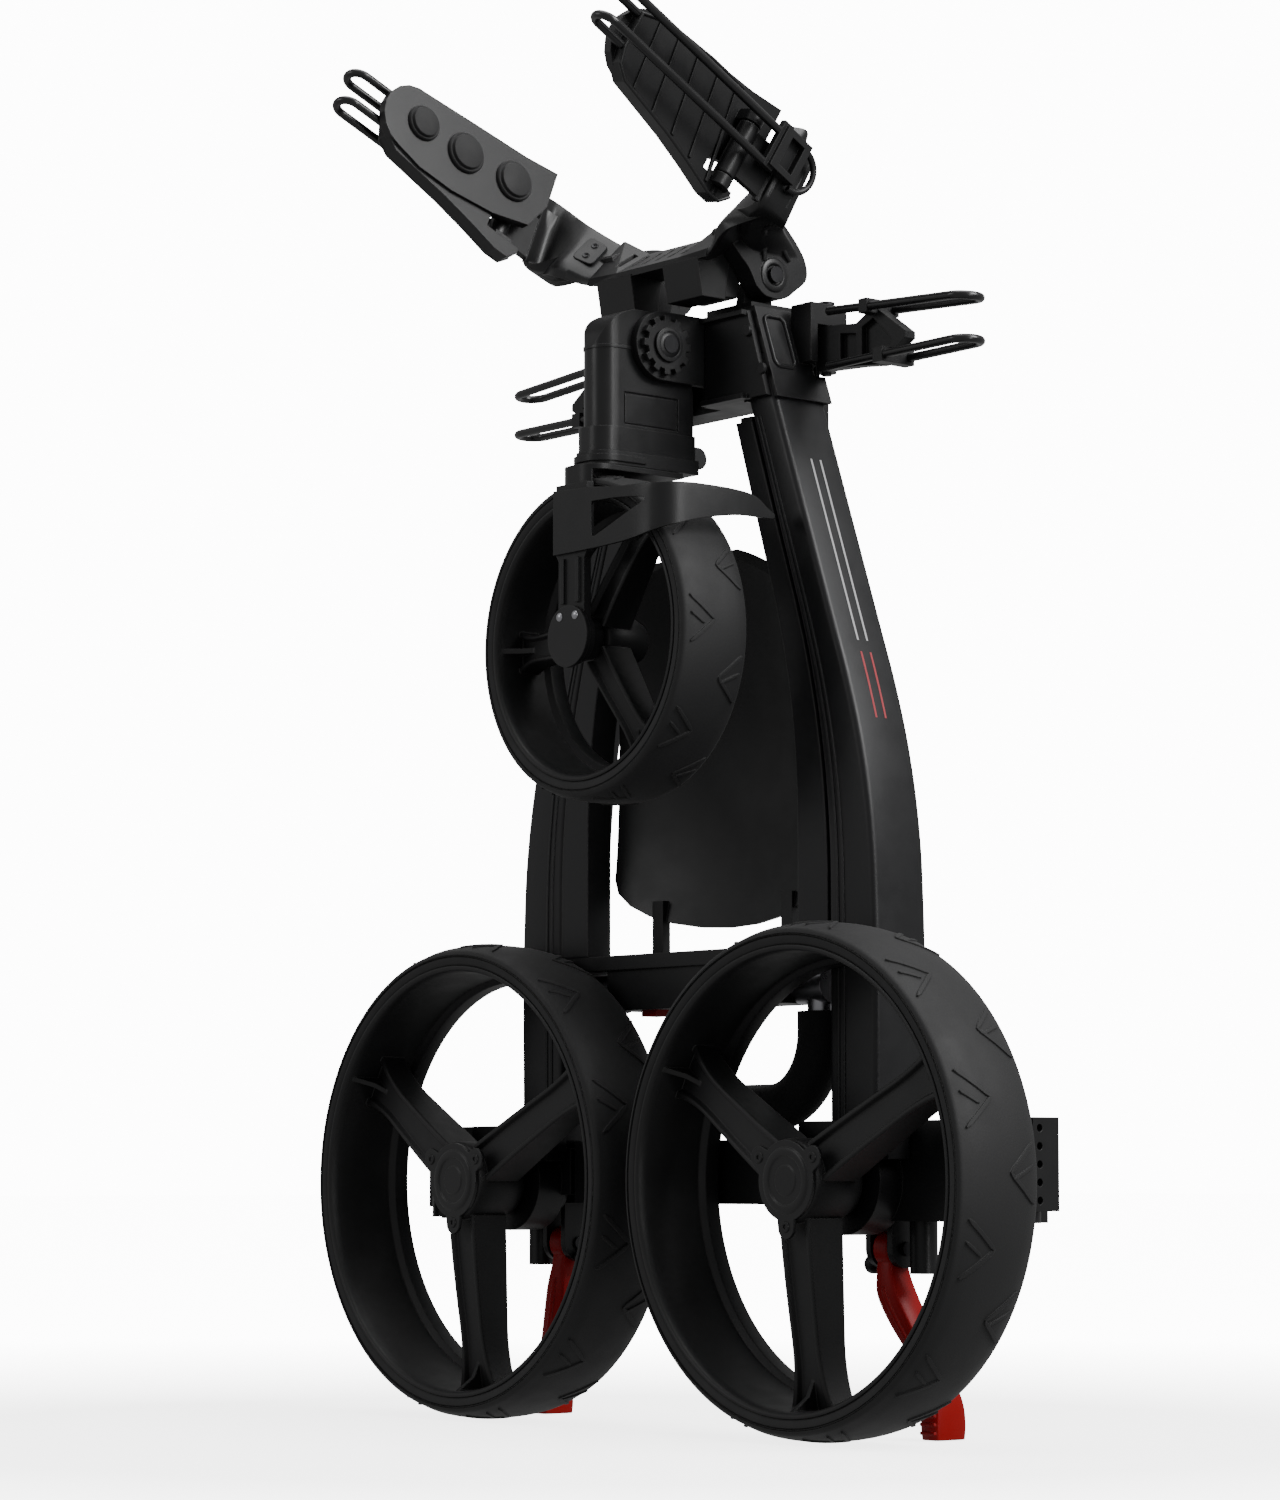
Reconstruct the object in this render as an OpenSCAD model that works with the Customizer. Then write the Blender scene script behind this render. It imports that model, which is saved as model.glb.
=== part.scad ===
// Three-wheeled golf push cart, folded flat and standing on its rear wheels.
// +Z is up and the floor is at z = 0, the folded wheels face -Y, and X = 0 is
// the middle of the cart. Inside the modules y = 0 is the front face of the
// folded rear wheels; placed() moves that face so that the whole cart is
// centred on the row frame.

/* [Rear wheels] */
// Largest diameter of a rear tyre
rear_wheel_d = 295; // [250:1:330]
// Width of a rear tyre
rear_wheel_w = 60; // [50:1:66]
// Gap between the two folded rear wheels
wheel_gap = 15; // [8:1:30]
// Radial height of a rear tyre
rear_tyre_h = 14.5; // [10:0.5:20]
// How much the middle of a tread stands above its edges
tread_crown = 4; // [2:0.5:5]
// Radial wall of a rim barrel
rim_wall = 4; // [3:0.5:6]
// Width of a rear wheel spoke
spoke_w = 24; // [18:1:28]
// Radius of a rear hub barrel
hub_r = 24; // [20:0.5:28]
// Depth of a rear hub barrel
hub_depth = 42; // [38:1:44]

/* [Front wheel] */
// Largest diameter of the front tyre
front_wheel_d = 197; // [165:1:215]
// Width of the front tyre
front_wheel_w = 50; // [40:1:56]
// Radial height of the front tyre
front_tyre_h = 13; // [9:0.5:15]
// Distance from the arm hinge down to the front axle
arm_reach = 179.5; // [165:0.5:215]

/* [Frame] */
// Height of the rails above the axle beam
rail_len = 470; // [400:1:560]
// Width of a rail at its foot
rail_w = 39.6; // [32:0.2:46]
// Depth of a rail, front to back
rail_d = 41; // [34:1:48]
// Wall of a rail
rail_wall = 3; // [2:0.5:4]
// Distance from the middle to a rail's inner edge at its foot
rail_x = 124.6; // [112:0.2:140]
// Gap between the wheels' back and the rails' front
rail_gap = 2; // [1:0.5:6]
// Height of the axle beam
beam_h = 38; // [30:1:44]
// Distance from the middle to a wheel bracket's hinge pin
fold_x = 263; // [250:1:290]
// Radius of a wheel bracket's hinge pin
fold_pin_r = 5; // [4:0.5:7]
// Height of the sleeve at the top of a rail
sleeve_h = 58; // [46:1:70]

/* [Handle] */
// Width of a handle bar at its foot
bar_w = 26.4; // [20:0.2:32]
// Thickness of a handle bar
bar_t = 18.5; // [14:0.5:20]
// Radius of the foam grip
foam_r = 14; // [12:0.5:15]
// Radius of the grip's steel tube
grip_tube_r = 8; // [6:0.5:9]

/* [Cradle] */
// Distance from the middle to a bag pad's inner face at its root
pad_x = 98.5; // [92:0.5:106]
// Length of a bag pad
pad_len = 125; // [105:1:140]
// Width of a bag pad at its root
pad_root_w = 49; // [42:1:56]
// Angle at which the pads rise towards the front
pad_rise = 27; // [20:1:34]
// Radius of the coated strap wire
wire_r = 2.6; // [2:0.1:3.2]

/* [Fits] */
// Radial clearance of a running fit
run_gap = 0.05; // [0.03:0.01:0.1]
// Side clearance between pieces that move past each other
side_gap = 0.6; // [0.4:0.1:1]

/* [Hidden] */
$fn = 64;
axle_z = rear_wheel_d / 2;
wheel_x = rear_wheel_d / 2 + wheel_gap / 2;
tyre_in_r = rear_wheel_d / 2 - rear_tyre_h;
hub_floor_y = hub_depth + 3;
front_y = rear_wheel_w + rail_gap;
beam_bottom = axle_z - beam_h * 0.37;
beam_top = beam_bottom + beam_h;
rail_top = beam_top + rail_len;
sleeve_z = rail_top - 28;
sleeve_top = sleeve_z + sleeve_h;
knuckle_t = 13.5;
beam_y = front_y + knuckle_t + 2.5;
beam_back = front_y + rail_d - 2;
fold_y = beam_y + 2;
fold_r = fold_pin_r + 6;
eye_h = 29;
lug_h = 14;

// arm hinge, front fork and front wheel
hinge_y = front_y - 36;
hinge_z = sleeve_z + 35;
arm_w = 26.6;
arm_front = hinge_y - 42;
arm_back = hinge_y + 28;
front_axle_z = hinge_z - arm_reach;
front_wheel_y = hinge_y - 49;
front_top = front_axle_z + front_wheel_d / 2;
swivel_y = front_wheel_y + front_wheel_w / 2;
swivel_z = front_top + 1.5;
fork_y = front_wheel_y - 7;
fork_t = 5.5;

// handle
bar_gap = side_gap;
handle_y = front_y + rail_d + 6.5;
handle_z = sleeve_z - 16;
grip_z = beam_top + 91;
grip_y = front_y + 18;
grip_x = rail_x - bar_w;
crossbar_top = grip_z + 23;
loop_low = beam_top + 5 + foam_r;

// cradle
tilt_y = front_y + 16;
tilt_z = sleeve_top + 20.6;
bridge_y = front_y - 24;
bridge_x = 56;
bridge_z = hinge_z + 49;
pad_y = front_y - 40;
pad_z = sleeve_top + 78.5;
pad_lean = 9.6;
pad_plate_t = 6;
pin_u = 16;
pin_x = 13.5;
strap_loop_r = 8;
strap_xc = 18;

// bag wings
wing_x = outer_edge(sleeve_z + 30) + 11;
wing_root = wing_x - 3;
wing_eye_r = 6;
wing_y = front_y + 42;
wing_z = sleeve_z + 32;
wire_gap = 10;
wire_end = wing_root + 136 - wire_gap;
// height, start of the back leg and tilt of each wing wire
wing_rows = [[13, 54, 4], [-13, 62, 0]];

// levers
lever_x = 150;
lever_y = beam_y + 10;
lever_z = beam_bottom - 25;
foot_x = 179;
foot_y = lever_y - 1;

y_reach_front = -(pad_y - cos(pad_rise) * (pad_len + 13 + strap_loop_r)
  - sin(pad_rise) * 8 - wire_r);
y_reach_back = handle_y + 7;
place_y = (y_reach_front - y_reach_back) / 2;

BLACK = [0.05, 0.05, 0.055];
CHARCOAL = [0.12, 0.12, 0.125];
TYRE = [0.09, 0.09, 0.09];
RED = [0.75, 0.05, 0.06];
STEEL = [0.7, 0.7, 0.72];

// ---------------------------------------------------------------- helpers

// Moves the working frame to the row frame.
module placed() { translate([0, place_y, 0]) children(); }

// side = 1 is the +X side, side = -1 its mirror image.
module sided(side) {
  placed() if (side > 0) children(); else mirror([1, 0, 0]) children();
}

// A cylinder along Y from y0 to y1.
module rod_y(r, y0, y1) {
  translate([0, y0, 0]) rotate([-90, 0, 0]) cylinder(r = r, h = y1 - y0);
}

// A cylinder along X from x0 to x1.
module rod_x(r, x0, x1) {
  translate([x0, 0, 0]) rotate([0, 90, 0]) cylinder(r = r, h = x1 - x0);
}

// A box from corner a to corner b.
module box(a, b) { translate(a) cube(b - a); }

// Stands an XZ outline up and gives it depth from y0 to y1.
module slab_y(y0, y1) {
  translate([0, y1, 0]) rotate([90, 0, 0]) linear_extrude(y1 - y0) children();
}

// Stands a YZ outline up and gives it width from x0 to x1.
module slab_x(x0, x1) {
  translate([x0, 0, 0]) rotate([90, 0, 90]) linear_extrude(x1 - x0) children();
}

// Turns a profile of [radius, y] points about the wheel axle.
module turned_y(points) {
  rotate([-90, 0, 0]) rotate_extrude($fn = 128) polygon(points);
}

// X of a rail edge at height z: straight to z0, an arc of radius r through
// the angle lean, then straight again.
function edge_x(z, x0, z0, r, lean) =
  z <= z0 ? x0
  : z <= z0 + r * sin(lean) ? x0 - r + sqrt(r * r - (z - z0) * (z - z0))
  : x0 - r * (1 - cos(lean)) - tan(lean) * (z - z0 - r * sin(lean));

// The curve is drawn for a rail of 470 and stretched to the rail's length, so
// that the feet and the tops of the rails keep their spacing.
function curve_z(z) = (z - beam_top) * 470 / rail_len;
function outer_edge(z) = edge_x(curve_z(z), rail_x + rail_w, 128, 434, 19.7);
function inner_edge(z) = edge_x(curve_z(z), rail_x, 148, 531, 18.7);
function bar_edge(z) = edge_x(curve_z(z), rail_x - bar_w, 188, 452, 17.5);

function heights(za, zb, n) = [for (i = [0:n]) za + (zb - za) * i / n];

// XZ outline between the rail's inner and outer edges, grown by g.
module rail_outline(za, zb, g, n = 14) {
  polygon(concat(
    [for (z = heights(za, zb, n)) [inner_edge(z) - g, z]],
    [for (z = heights(zb, za, n)) [outer_edge(z) + g, z]]));
}

// XZ outline of a handle bar, inside the rail's inner edge.
module bar_outline(za, zb, n = 14) {
  polygon(concat(
    [for (z = heights(za, zb, n)) [bar_edge(z), z]],
    [for (z = heights(zb, za, n)) [inner_edge(z) - bar_gap, z]]));
}

// ---------------------------------------------------------------- frame

module rail(side) {
  color(CHARCOAL) sided(side) difference() {
    slab_y(front_y, front_y + rail_d) rail_outline(beam_top, rail_top, 0);
    slab_y(front_y + rail_wall, front_y + rail_d - rail_wall)
      rail_outline(beam_top - 1, rail_top + 1, -rail_wall);
  }
}

module beam_half() {
  plug = rail_wall + 0.2;
  // rail plug
  slab_y(front_y + plug, beam_back - plug)
    rail_outline(beam_top - 1, beam_top + 24, -plug, 2);
  // outboard box
  box([rail_x - 14, beam_y, beam_bottom], [fold_x - fold_r - 2, beam_back, beam_top]);
  // hinge lugs
  for (z = [axle_z + 5.5 + eye_h / 2 + 0.5, axle_z + 5.5 - eye_h / 2 - 0.5 - lug_h])
    difference() {
      translate([0, 0, z]) linear_extrude(lug_h) union() {
        translate([fold_x, fold_y]) circle(r = fold_r);
        translate([fold_x - 30, fold_y]) square([30, beam_back - fold_y]);
      }
      translate([fold_x, fold_y, z - 1]) cylinder(r = fold_pin_r, h = lug_h + 2);
    }
  // web that joins the two lugs behind the bracket's eye
  box([fold_x - 30, beam_back - 5, axle_z + 5.5 - eye_h / 2 - lug_h],
      [fold_x - fold_r - 2, beam_back, axle_z + 5.5 + eye_h / 2 + lug_h]);
  // foot lever ears
  for (x = [lever_x - 11.1, lever_x + 7.1]) difference() {
    slab_x(x, x + 4) union() {
      translate([lever_y, lever_z]) circle(r = 11);
      translate([lever_y - 11, lever_z]) square([22, beam_bottom - lever_z + 1]);
    }
    translate([0, lever_y, lever_z]) rod_x(4, x - 1, x + 5);
  }
  // rubber-tipped stop boss beside the lever
  translate([lever_x + 26, lever_y, lever_z - 14])
    cylinder(r = 8, h = beam_bottom - lever_z + 15);
}

module axle_beam() {
  color(BLACK) placed() union() {
    box([-(rail_x - 13), beam_y, beam_bottom], [rail_x - 13, beam_back, beam_top]);
    // deeper middle, as wide as the folded brackets leave room for
    box([-(wheel_x - 43.4), front_y + 1, beam_bottom], [wheel_x - 43.4, beam_back, beam_top]);
    beam_half();
    mirror([1, 0, 0]) beam_half();
  }
}

module fold_pins() {
  z0 = axle_z + 5 - eye_h / 2 - lug_h - 1;
  color(STEEL) for (s = [-1, 1]) sided(s)
    translate([fold_x, fold_y, z0]) cylinder(r = fold_pin_r, h = eye_h + 2 * lug_h + 3);
}

module end_plates() {
  x0 = fold_x + fold_r;
  color(BLACK) for (s = [-1, 1]) sided(s) difference() {
    slab_x(x0, x0 + 4) translate([fold_y - 5, axle_z - 17])
      square([20, 52]);
    for (i = [0:4]) translate([0, fold_y, axle_z - 11 + i * 10])
      rod_x(2.2, x0 - 1, x0 + 5);
  }
}

module lever_pins() {
  color(STEEL) for (s = [-1, 1]) sided(s)
    translate([0, lever_y, lever_z]) rod_x(4, lever_x - 13, lever_x + 13);
}

// Sleeve over the top of a rail, with the bracket that holds the bag wing.
module top_sleeve(side) {
  wall = 3;
  back = front_y + rail_d + wall;
  color(BLACK) sided(side) difference() {
    union() {
      slab_y(front_y, back) rail_outline(sleeve_z, sleeve_top, wall, 4);
      // ear that holds the handle's hinge pin
      slab_x(inner_edge(handle_z) + 1, inner_edge(handle_z) + 8) union() {
        translate([handle_y, handle_z]) circle(r = 6);
        translate([handle_y - 6, handle_z]) square([12, sleeve_z + 6 - handle_z]);
        translate([back - 3, sleeve_z]) square([handle_y + 9 - back, 8]);
      }
      // wing bracket
      box([outer_edge(sleeve_z + 24) - 4, wing_y - 17, sleeve_z + 24],
          [wing_x + 5, wing_y + 12, sleeve_top + 2]);
    }
    slab_y(front_y - 1, front_y + rail_d + 0.1)
      rail_outline(sleeve_z - 1, rail_top + 0.2, 0.1, 6);
    translate([0, handle_y, handle_z])
      rod_x(3.5 + run_gap, inner_edge(handle_z), inner_edge(handle_z) + 9);
    // slot for the wing's eye
    translate([wing_x, wing_y, wing_z - 15]) cylinder(r = wing_eye_r + 2.8, h = 30);
    box([wing_x - 2, wing_y - 11.5, wing_z - 15], [wing_x + 30, wing_y + 30, wing_z + 15]);
    translate([wing_x, wing_y, wing_z]) cylinder(r = 3, h = sleeve_h + 10);
  }
}

module top_crossbar() {
  x1 = inner_edge(sleeve_top) - 3;
  color(BLACK) placed() difference() {
    union() {
      slab_y(front_y, front_y + rail_d - 4) polygon([
        [-(inner_edge(sleeve_z + 2) - 3), sleeve_z + 2],
        [inner_edge(sleeve_z + 2) - 3, sleeve_z + 2],
        [x1, sleeve_top - 2], [-x1, sleeve_top - 2]]);
      // cheeks on both sides of the arm's head
      for (s = [-1, 1]) mirror([s < 0 ? 1 : 0, 0, 0])
        slab_x(arm_w / 2 + side_gap, arm_w / 2 + side_gap + 5) union() {
          translate([hinge_y, hinge_z]) circle(r = 21);
          translate([hinge_y, hinge_z - 21]) square([front_y - hinge_y + 1, 42]);
        }
    }
    translate([0, hinge_y, hinge_z]) rod_x(6, -30, 30);
    // room for the arm's head as it swings up
    box([-arm_w / 2 - side_gap, front_y - 1, sleeve_z - 1],
        [arm_w / 2 + side_gap, hinge_y + 50, sleeve_top + 1]);
  }
}

module crossbar_cover() {
  xa = outer_edge(sleeve_z + 4) - 1;
  xb = outer_edge(sleeve_top - 4) - 1;
  inner = arm_w / 2 + 7;
  color(BLACK) placed() difference() {
    union() {
      slab_y(front_y - 4, front_y) polygon([
        [-xa, sleeve_z + 1], [xa, sleeve_z + 1],
        [xb, sleeve_top - 3], [-xb, sleeve_top - 3]]);
      for (z = [sleeve_z + 1, sleeve_top - 6])
        slab_y(front_y - 8, front_y - 3)
          polygon([[-xb, z], [xb, z], [xb, z + 3], [-xb, z + 3]]);
    }
    box([-inner, front_y - 9, sleeve_z - 1], [inner, front_y + 1, sleeve_top + 1]);
  }
}

module crossbar_bolts() {
  color(STEEL) for (s = [-1, 1], k = [[60, 42], [73, 17]]) sided(s)
    translate([k[0], 0, sleeve_z + k[1]])
      rod_y(3.5, front_y - 6.2, front_y - 4);
}

module lock_disc() {
  x0 = arm_w / 2 + side_gap + 5;
  teeth = 12;
  color(BLACK) placed() translate([0, hinge_y, hinge_z]) difference() {
    slab_x(x0, x0 + 4) union() {
      circle(r = 15);
      for (i = [0:teeth - 1]) rotate(i * 360 / teeth)
        translate([0, -2.2]) square([18, 4.4]);
    }
    rod_x(6, x0 - 1, x0 + 5);
  }
}

module hinge_bolt() {
  x0 = arm_w / 2 + side_gap + 9;
  color(STEEL) placed() translate([0, hinge_y, hinge_z]) union() {
    rod_x(5.95, -x0 + 4, x0);
    rod_x(8, x0, x0 + 1.5);
    rod_x(5.5, x0 + 1.5, x0 + 3.5);
    rod_x(8, -x0 + 1, -x0 + 4);
  }
}

// ---------------------------------------------------------------- rear wheels

module at_wheel(side) { sided(side) translate([wheel_x, 0, axle_z]) children(); }

module rear_tyre(side) {
  r = rear_wheel_d / 2;
  w = rear_wheel_w;
  color(TYRE) at_wheel(side) turned_y([
    [tyre_in_r, 0], [r - tread_crown - 2, 0], [r - tread_crown, 2],
    [r - 1, w * 0.2], [r, w * 0.38], [r, w * 0.62], [r - 1, w * 0.8],
    [r - tread_crown, w - 2], [r - tread_crown - 2, w], [tyre_in_r, w]]);
}

module rim_spoke(r_out) {
  // side profile in YZ, drawn pointing up from the hub
  slab_x(-spoke_w / 2, spoke_w / 2) polygon([
    [8, hub_r - 3], [22, r_out], [38, r_out], [34, hub_r - 3]]);
}

module rear_rim(side) {
  r = tyre_in_r - run_gap;
  w = rear_wheel_w;
  color(CHARCOAL) at_wheel(side) difference() {
    union() {
      turned_y([[r - rim_wall, 0], [r, 0], [r, w - 2],
        [r - rim_wall - 5, w - 2], [r - rim_wall - 5, w - 12]]);
      rod_y(hub_r, 3, hub_depth);
      for (a = [60, 180, 300]) rotate([0, a, 0]) rim_spoke(r - rim_wall + 1);
      for (a = [60, 180, 300]) rotate([0, a, 0])
        translate([0, 0, hub_r + 2]) rod_y(6.5, 3, 14);
    }
    rod_y(12 + run_gap, -1, hub_depth + 1);
  }
}

module hub_cap(side) {
  color(BLACK) at_wheel(side) difference() {
    union() {
      rod_y(hub_r - 1, 0, 3);
      for (a = [60, 180, 300]) rotate([0, a, 0])
        translate([0, 0, hub_r + 2]) rod_y(6.5, 0, 3);
    }
    for (a = [60, 180, 300]) rotate([0, a, 0])
      translate([0, 0, hub_r + 2]) rod_y(3.4, -1, 2);
  }
}

module rear_bearings(side) {
  color(STEEL) at_wheel(side) for (y = [6, hub_depth - 10]) difference() {
    rod_y(12, y, y + 8);
    rod_y(6.5 + run_gap, y - 1, y + 9);
  }
}

module rear_axle(side) {
  color(STEEL) at_wheel(side) union() {
    rod_y(6.5, 5, hub_floor_y);
    rod_y(9, hub_depth + 1, hub_floor_y);
  }
}

module knuckle(side) {
  z0 = axle_z + 5 - eye_h / 2 + 0.5;
  color(BLACK) sided(side) difference() {
    union() {
      translate([0, 0, z0]) linear_extrude(eye_h) union() {
        translate([fold_x, fold_y]) circle(r = fold_r);
        polygon([[wheel_x - 40, front_y + 0.5], [fold_x - fold_r - 6, front_y + 0.5],
          [fold_x - fold_r * 0.55, fold_y - fold_r * 0.83], [fold_x - fold_r + 2, fold_y - 3],
          [wheel_x - 40, front_y + knuckle_t]]);
      }
      box([rail_x + rail_w + 4, front_y + 0.5, axle_z - 23],
          [fold_x - 26, front_y + knuckle_t, axle_z + 34]);
      translate([wheel_x, 0, axle_z]) rod_y(31, hub_floor_y, front_y + 4);
      box([wheel_x - 38, hub_floor_y, axle_z + 12],
          [wheel_x + 38, front_y - 0.5, axle_z + 34]);
      translate([wheel_x, 0, axle_z]) rod_y(23, front_y, front_y + knuckle_t);
    }
    translate([fold_x, fold_y, z0 - 1]) cylinder(r = fold_pin_r + run_gap, h = eye_h + 2);
    // room for the rail's foot
    box([rail_x - 60, front_y - 1.5, beam_top - 3.5],
        [rail_x + rail_w + 4, front_y + rail_d, axle_z + 60]);
  }
}

// ---------------------------------------------------------------- foot levers

module foot_lever(side) {
  color(RED) sided(side) difference() {
    union() {
      translate([0, lever_y, lever_z]) rod_x(10.5, lever_x - 6.5, lever_x + 6.5);
      box([lever_x - 6.5, lever_y - 8, lever_z - 18], [lever_x + 6.5, lever_y + 8, lever_z - 3]);
      hull() {
        box([lever_x - 6, lever_y - 8, lever_z - 22], [lever_x + 6, lever_y + 8, lever_z - 12]);
        box([foot_x - 7, foot_y + 3, 32], [foot_x + 7, foot_y + 19, 40]);
      }
      hull() {
        box([foot_x - 7, foot_y + 3, 32], [foot_x + 7, foot_y + 19, 40]);
        box([foot_x - 8, foot_y, 18], [foot_x + 8, foot_y + 23, 24]);
      }
      box([foot_x - 8, foot_y, 0], [foot_x + 8, foot_y + 25, 18]);
    }
    translate([0, lever_y, lever_z])
      rod_x(4 + run_gap, lever_x - 7, lever_x + 7);
  }
}

// ---------------------------------------------------------------- front arm

// Plan outline of the arm: width 2x, round nose at y0, flat back at y1.
module arm_plan(x, y0, y1, r) {
  translate([x - r, y0 + r]) circle(r = r);
  translate([r - x, y0 + r]) circle(r = r);
  translate([r - x, y0]) square([2 * (x - r), r]);
  translate([-x, y0 + r]) square([2 * x, y1 - y0 - r]);
}

module front_arm() {
  top = hinge_z + 21;
  bend = 27;
  foot_z = swivel_z + 12.5;
  color(BLACK) placed() difference() {
    union() {
      intersection() {
        translate([0, 0, foot_z]) linear_extrude(top - foot_z)
          arm_plan(arm_w / 2, arm_front, arm_back, 12);
        slab_x(-arm_w / 2, arm_w / 2) union() {
          translate([hinge_y, hinge_z]) circle(r = 21);
          translate([arm_front + bend, top - bend]) circle(r = bend);
          polygon([[arm_front, foot_z], [arm_back, foot_z],
            [arm_back, hinge_z - 25], [hinge_y + 21, hinge_z], [hinge_y, top],
            [arm_front + bend, top], [arm_front, top - bend]]);
        }
      }
      translate([0, 0, foot_z]) linear_extrude(15)
        arm_plan(arm_w / 2 + 2, arm_front - 3, arm_back, 13);
    }
    translate([0, hinge_y, hinge_z]) rod_x(6 + run_gap, -arm_w, arm_w);
    translate([0, swivel_y, swivel_z + 5]) cylinder(r = 8 + run_gap, h = 42);
    // recessed label panel on both faces
    for (s = [-1, 1]) mirror([s < 0 ? 1 : 0, 0, 0])
      slab_x(arm_w / 2 - 1.2, arm_w / 2 + 4) translate([arm_front + 16, foot_z + 17])
        square([42, 20]);
  }
}

module arm_collar() {
  x = arm_w / 2 + 3;
  color(BLACK) placed() difference() {
    union() {
      translate([0, 0, swivel_z + 4]) linear_extrude(8.5)
        arm_plan(x, arm_front - 4.5, arm_back + 2, 14);
      translate([0, 0, swivel_z + 6]) linear_extrude(4)
        arm_plan(x + 1.2, arm_front - 6, arm_front + 30, 15);
    }
    translate([0, swivel_y, swivel_z]) cylinder(r = 8 + run_gap, h = 42);
  }
}

module fork_bar() {
  x = 14.5;
  color(BLACK) placed() difference() {
    union() {
      // crown over the tyre, its hood, and the swivel post
      translate([0, 0, swivel_z]) linear_extrude(3.4)
        arm_plan(18, arm_front - 12, arm_back - 12, 14);
      intersection() {
        translate([0, 0, swivel_z - 11]) linear_extrude(12)
          arm_plan(18, arm_front - 12, arm_back - 12, 14);
        box([-20, fork_y, swivel_z - 12], [20, fork_y + fork_t, swivel_z + 2]);
      }
      translate([0, swivel_y, swivel_z + 1]) cylinder(r = 8, h = 40);
      // bar in front of the wheel
      slab_y(fork_y, fork_y + fork_t) polygon([
        [-x, swivel_z - 50], [-x, swivel_z - 8], [x, swivel_z - 8], [x, swivel_z - 50],
        [12, swivel_z - 54], [12, front_axle_z], [-12, front_axle_z], [-12, swivel_z - 54]]);
      translate([0, 0, front_axle_z]) rod_y(16, fork_y, fork_y + fork_t);
      translate([0, 0, front_axle_z]) rod_y(13, fork_y + fork_t - 1, fork_y + fork_t + 9);
      for (x = [-7, 7]) translate([x - 1.5, fork_y - 1.5, front_axle_z + 20])
        cube([3, 3, swivel_z - 53 - front_axle_z - 20]);
    }
    translate([0, 0, front_axle_z]) rod_y(5, fork_y - 1, fork_y + 30);
  }
}

// Guard that hugs the front tyre from the fork round to its back corner.
module wheel_guard() {
  y0 = fork_y - 2.6;
  r = front_wheel_d / 2;
  outer = [[-14.5, y0], [0.66 * r, y0], [0.8 * r, y0 + 5], [0.87 * r, y0 + 13],
    [0.91 * r, y0 + 32], [0.93 * r, y0 + 58], [0.92 * r, y0 + 84]];
  inner = [[0.89 * r, y0 + 84], [0.9 * r, y0 + 58], [0.88 * r, y0 + 33],
    [0.84 * r, y0 + 16], [0.78 * r, y0 + 8], [0.65 * r, y0 + 2.5], [-14.5, y0 + 2.5]];
  z0 = swivel_z - 50;
  color(BLACK) placed() difference() {
    translate([0, 0, z0]) linear_extrude(39) polygon(concat(outer, inner));
    // lower edge rises from the fork towards the back
    translate([0, 0, z0]) slab_y(y0 - 1, y0 + 14)
      polygon([[40, -1], [0.95 * r, -1], [0.95 * r, 7], [0.8 * r, 5], [55, 1]]);
    translate([0, 0, z0]) slab_x(0.76 * r, r + 5)
      polygon([[y0 + 8, -1], [y0 + 90, -1], [y0 + 90, 16], [y0 + 52, 18],
        [y0 + 28, 12], [y0 + 8, 6]]);
    // top edge: flat over the fork, falling to a point at the back
    translate([0, 0, z0]) slab_y(y0 - 1, y0 + 14)
      polygon([[-16, 38.5], [20, 37], [43, 33.5], [0.95 * r, 33.5], [0.95 * r, 45], [-16, 45]]);
    translate([0, 0, z0]) slab_x(0.76 * r, r + 5)
      polygon([[y0 + 8, 34], [y0 + 70, 33.5], [y0 + 86, 17.5], [y0 + 90, 17.5],
        [y0 + 90, 45], [y0 + 8, 45]]);
    // triangular window
    translate([0, 0, z0]) slab_y(y0 - 1, y0 + 14) polygon([[21, 30], [70, 26], [21, 6]]);
  }
}

module front_hub_cover() {
  color(BLACK) placed() translate([0, 0, front_axle_z]) rod_y(18.5, fork_y - 3, fork_y);
}

module front_axle() {
  color(STEEL) placed() translate([0, 0, front_axle_z]) rod_y(4.95, fork_y + 1, 18 + front_wheel_y + 26);
}

module at_front_wheel() { placed() translate([0, front_wheel_y, front_axle_z]) children(); }

module front_tyre() {
  r = front_wheel_d / 2;
  ri = r - front_tyre_h;
  w = front_wheel_w;
  c = tread_crown * 0.6;
  color(TYRE) at_front_wheel() turned_y([
    [ri, 0], [r - c - 2, 0], [r - c, 2], [r - 0.6, w * 0.2], [r, w * 0.38],
    [r, w * 0.62], [r - 0.6, w * 0.8], [r - c, w - 2], [r - c - 2, w], [ri, w]]);
}

module front_rim() {
  r = front_wheel_d / 2 - front_tyre_h - run_gap;
  w = front_wheel_w;
  color(CHARCOAL) at_front_wheel() difference() {
    union() {
      turned_y([[r - 3.5, 0], [r, 0], [r, w - 2], [r - 8, w - 2], [r - 8, w - 10]]);
      rod_y(15, 10, 44);
      for (a = [30, 150, 270]) rotate([0, a, 0]) slab_x(-8, 8) polygon([
        [15, 12], [20, r - 3], [34, r - 3], [32, 12]]);
    }
    rod_y(10 + run_gap, 9, 45);
  }
}

module front_bearings() {
  color(STEEL) at_front_wheel() for (y = [12, 34]) difference() {
    rod_y(10, y, y + 8);
    rod_y(5 + run_gap, y - 1, y + 9);
  }
}

// ---------------------------------------------------------------- handle

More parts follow.
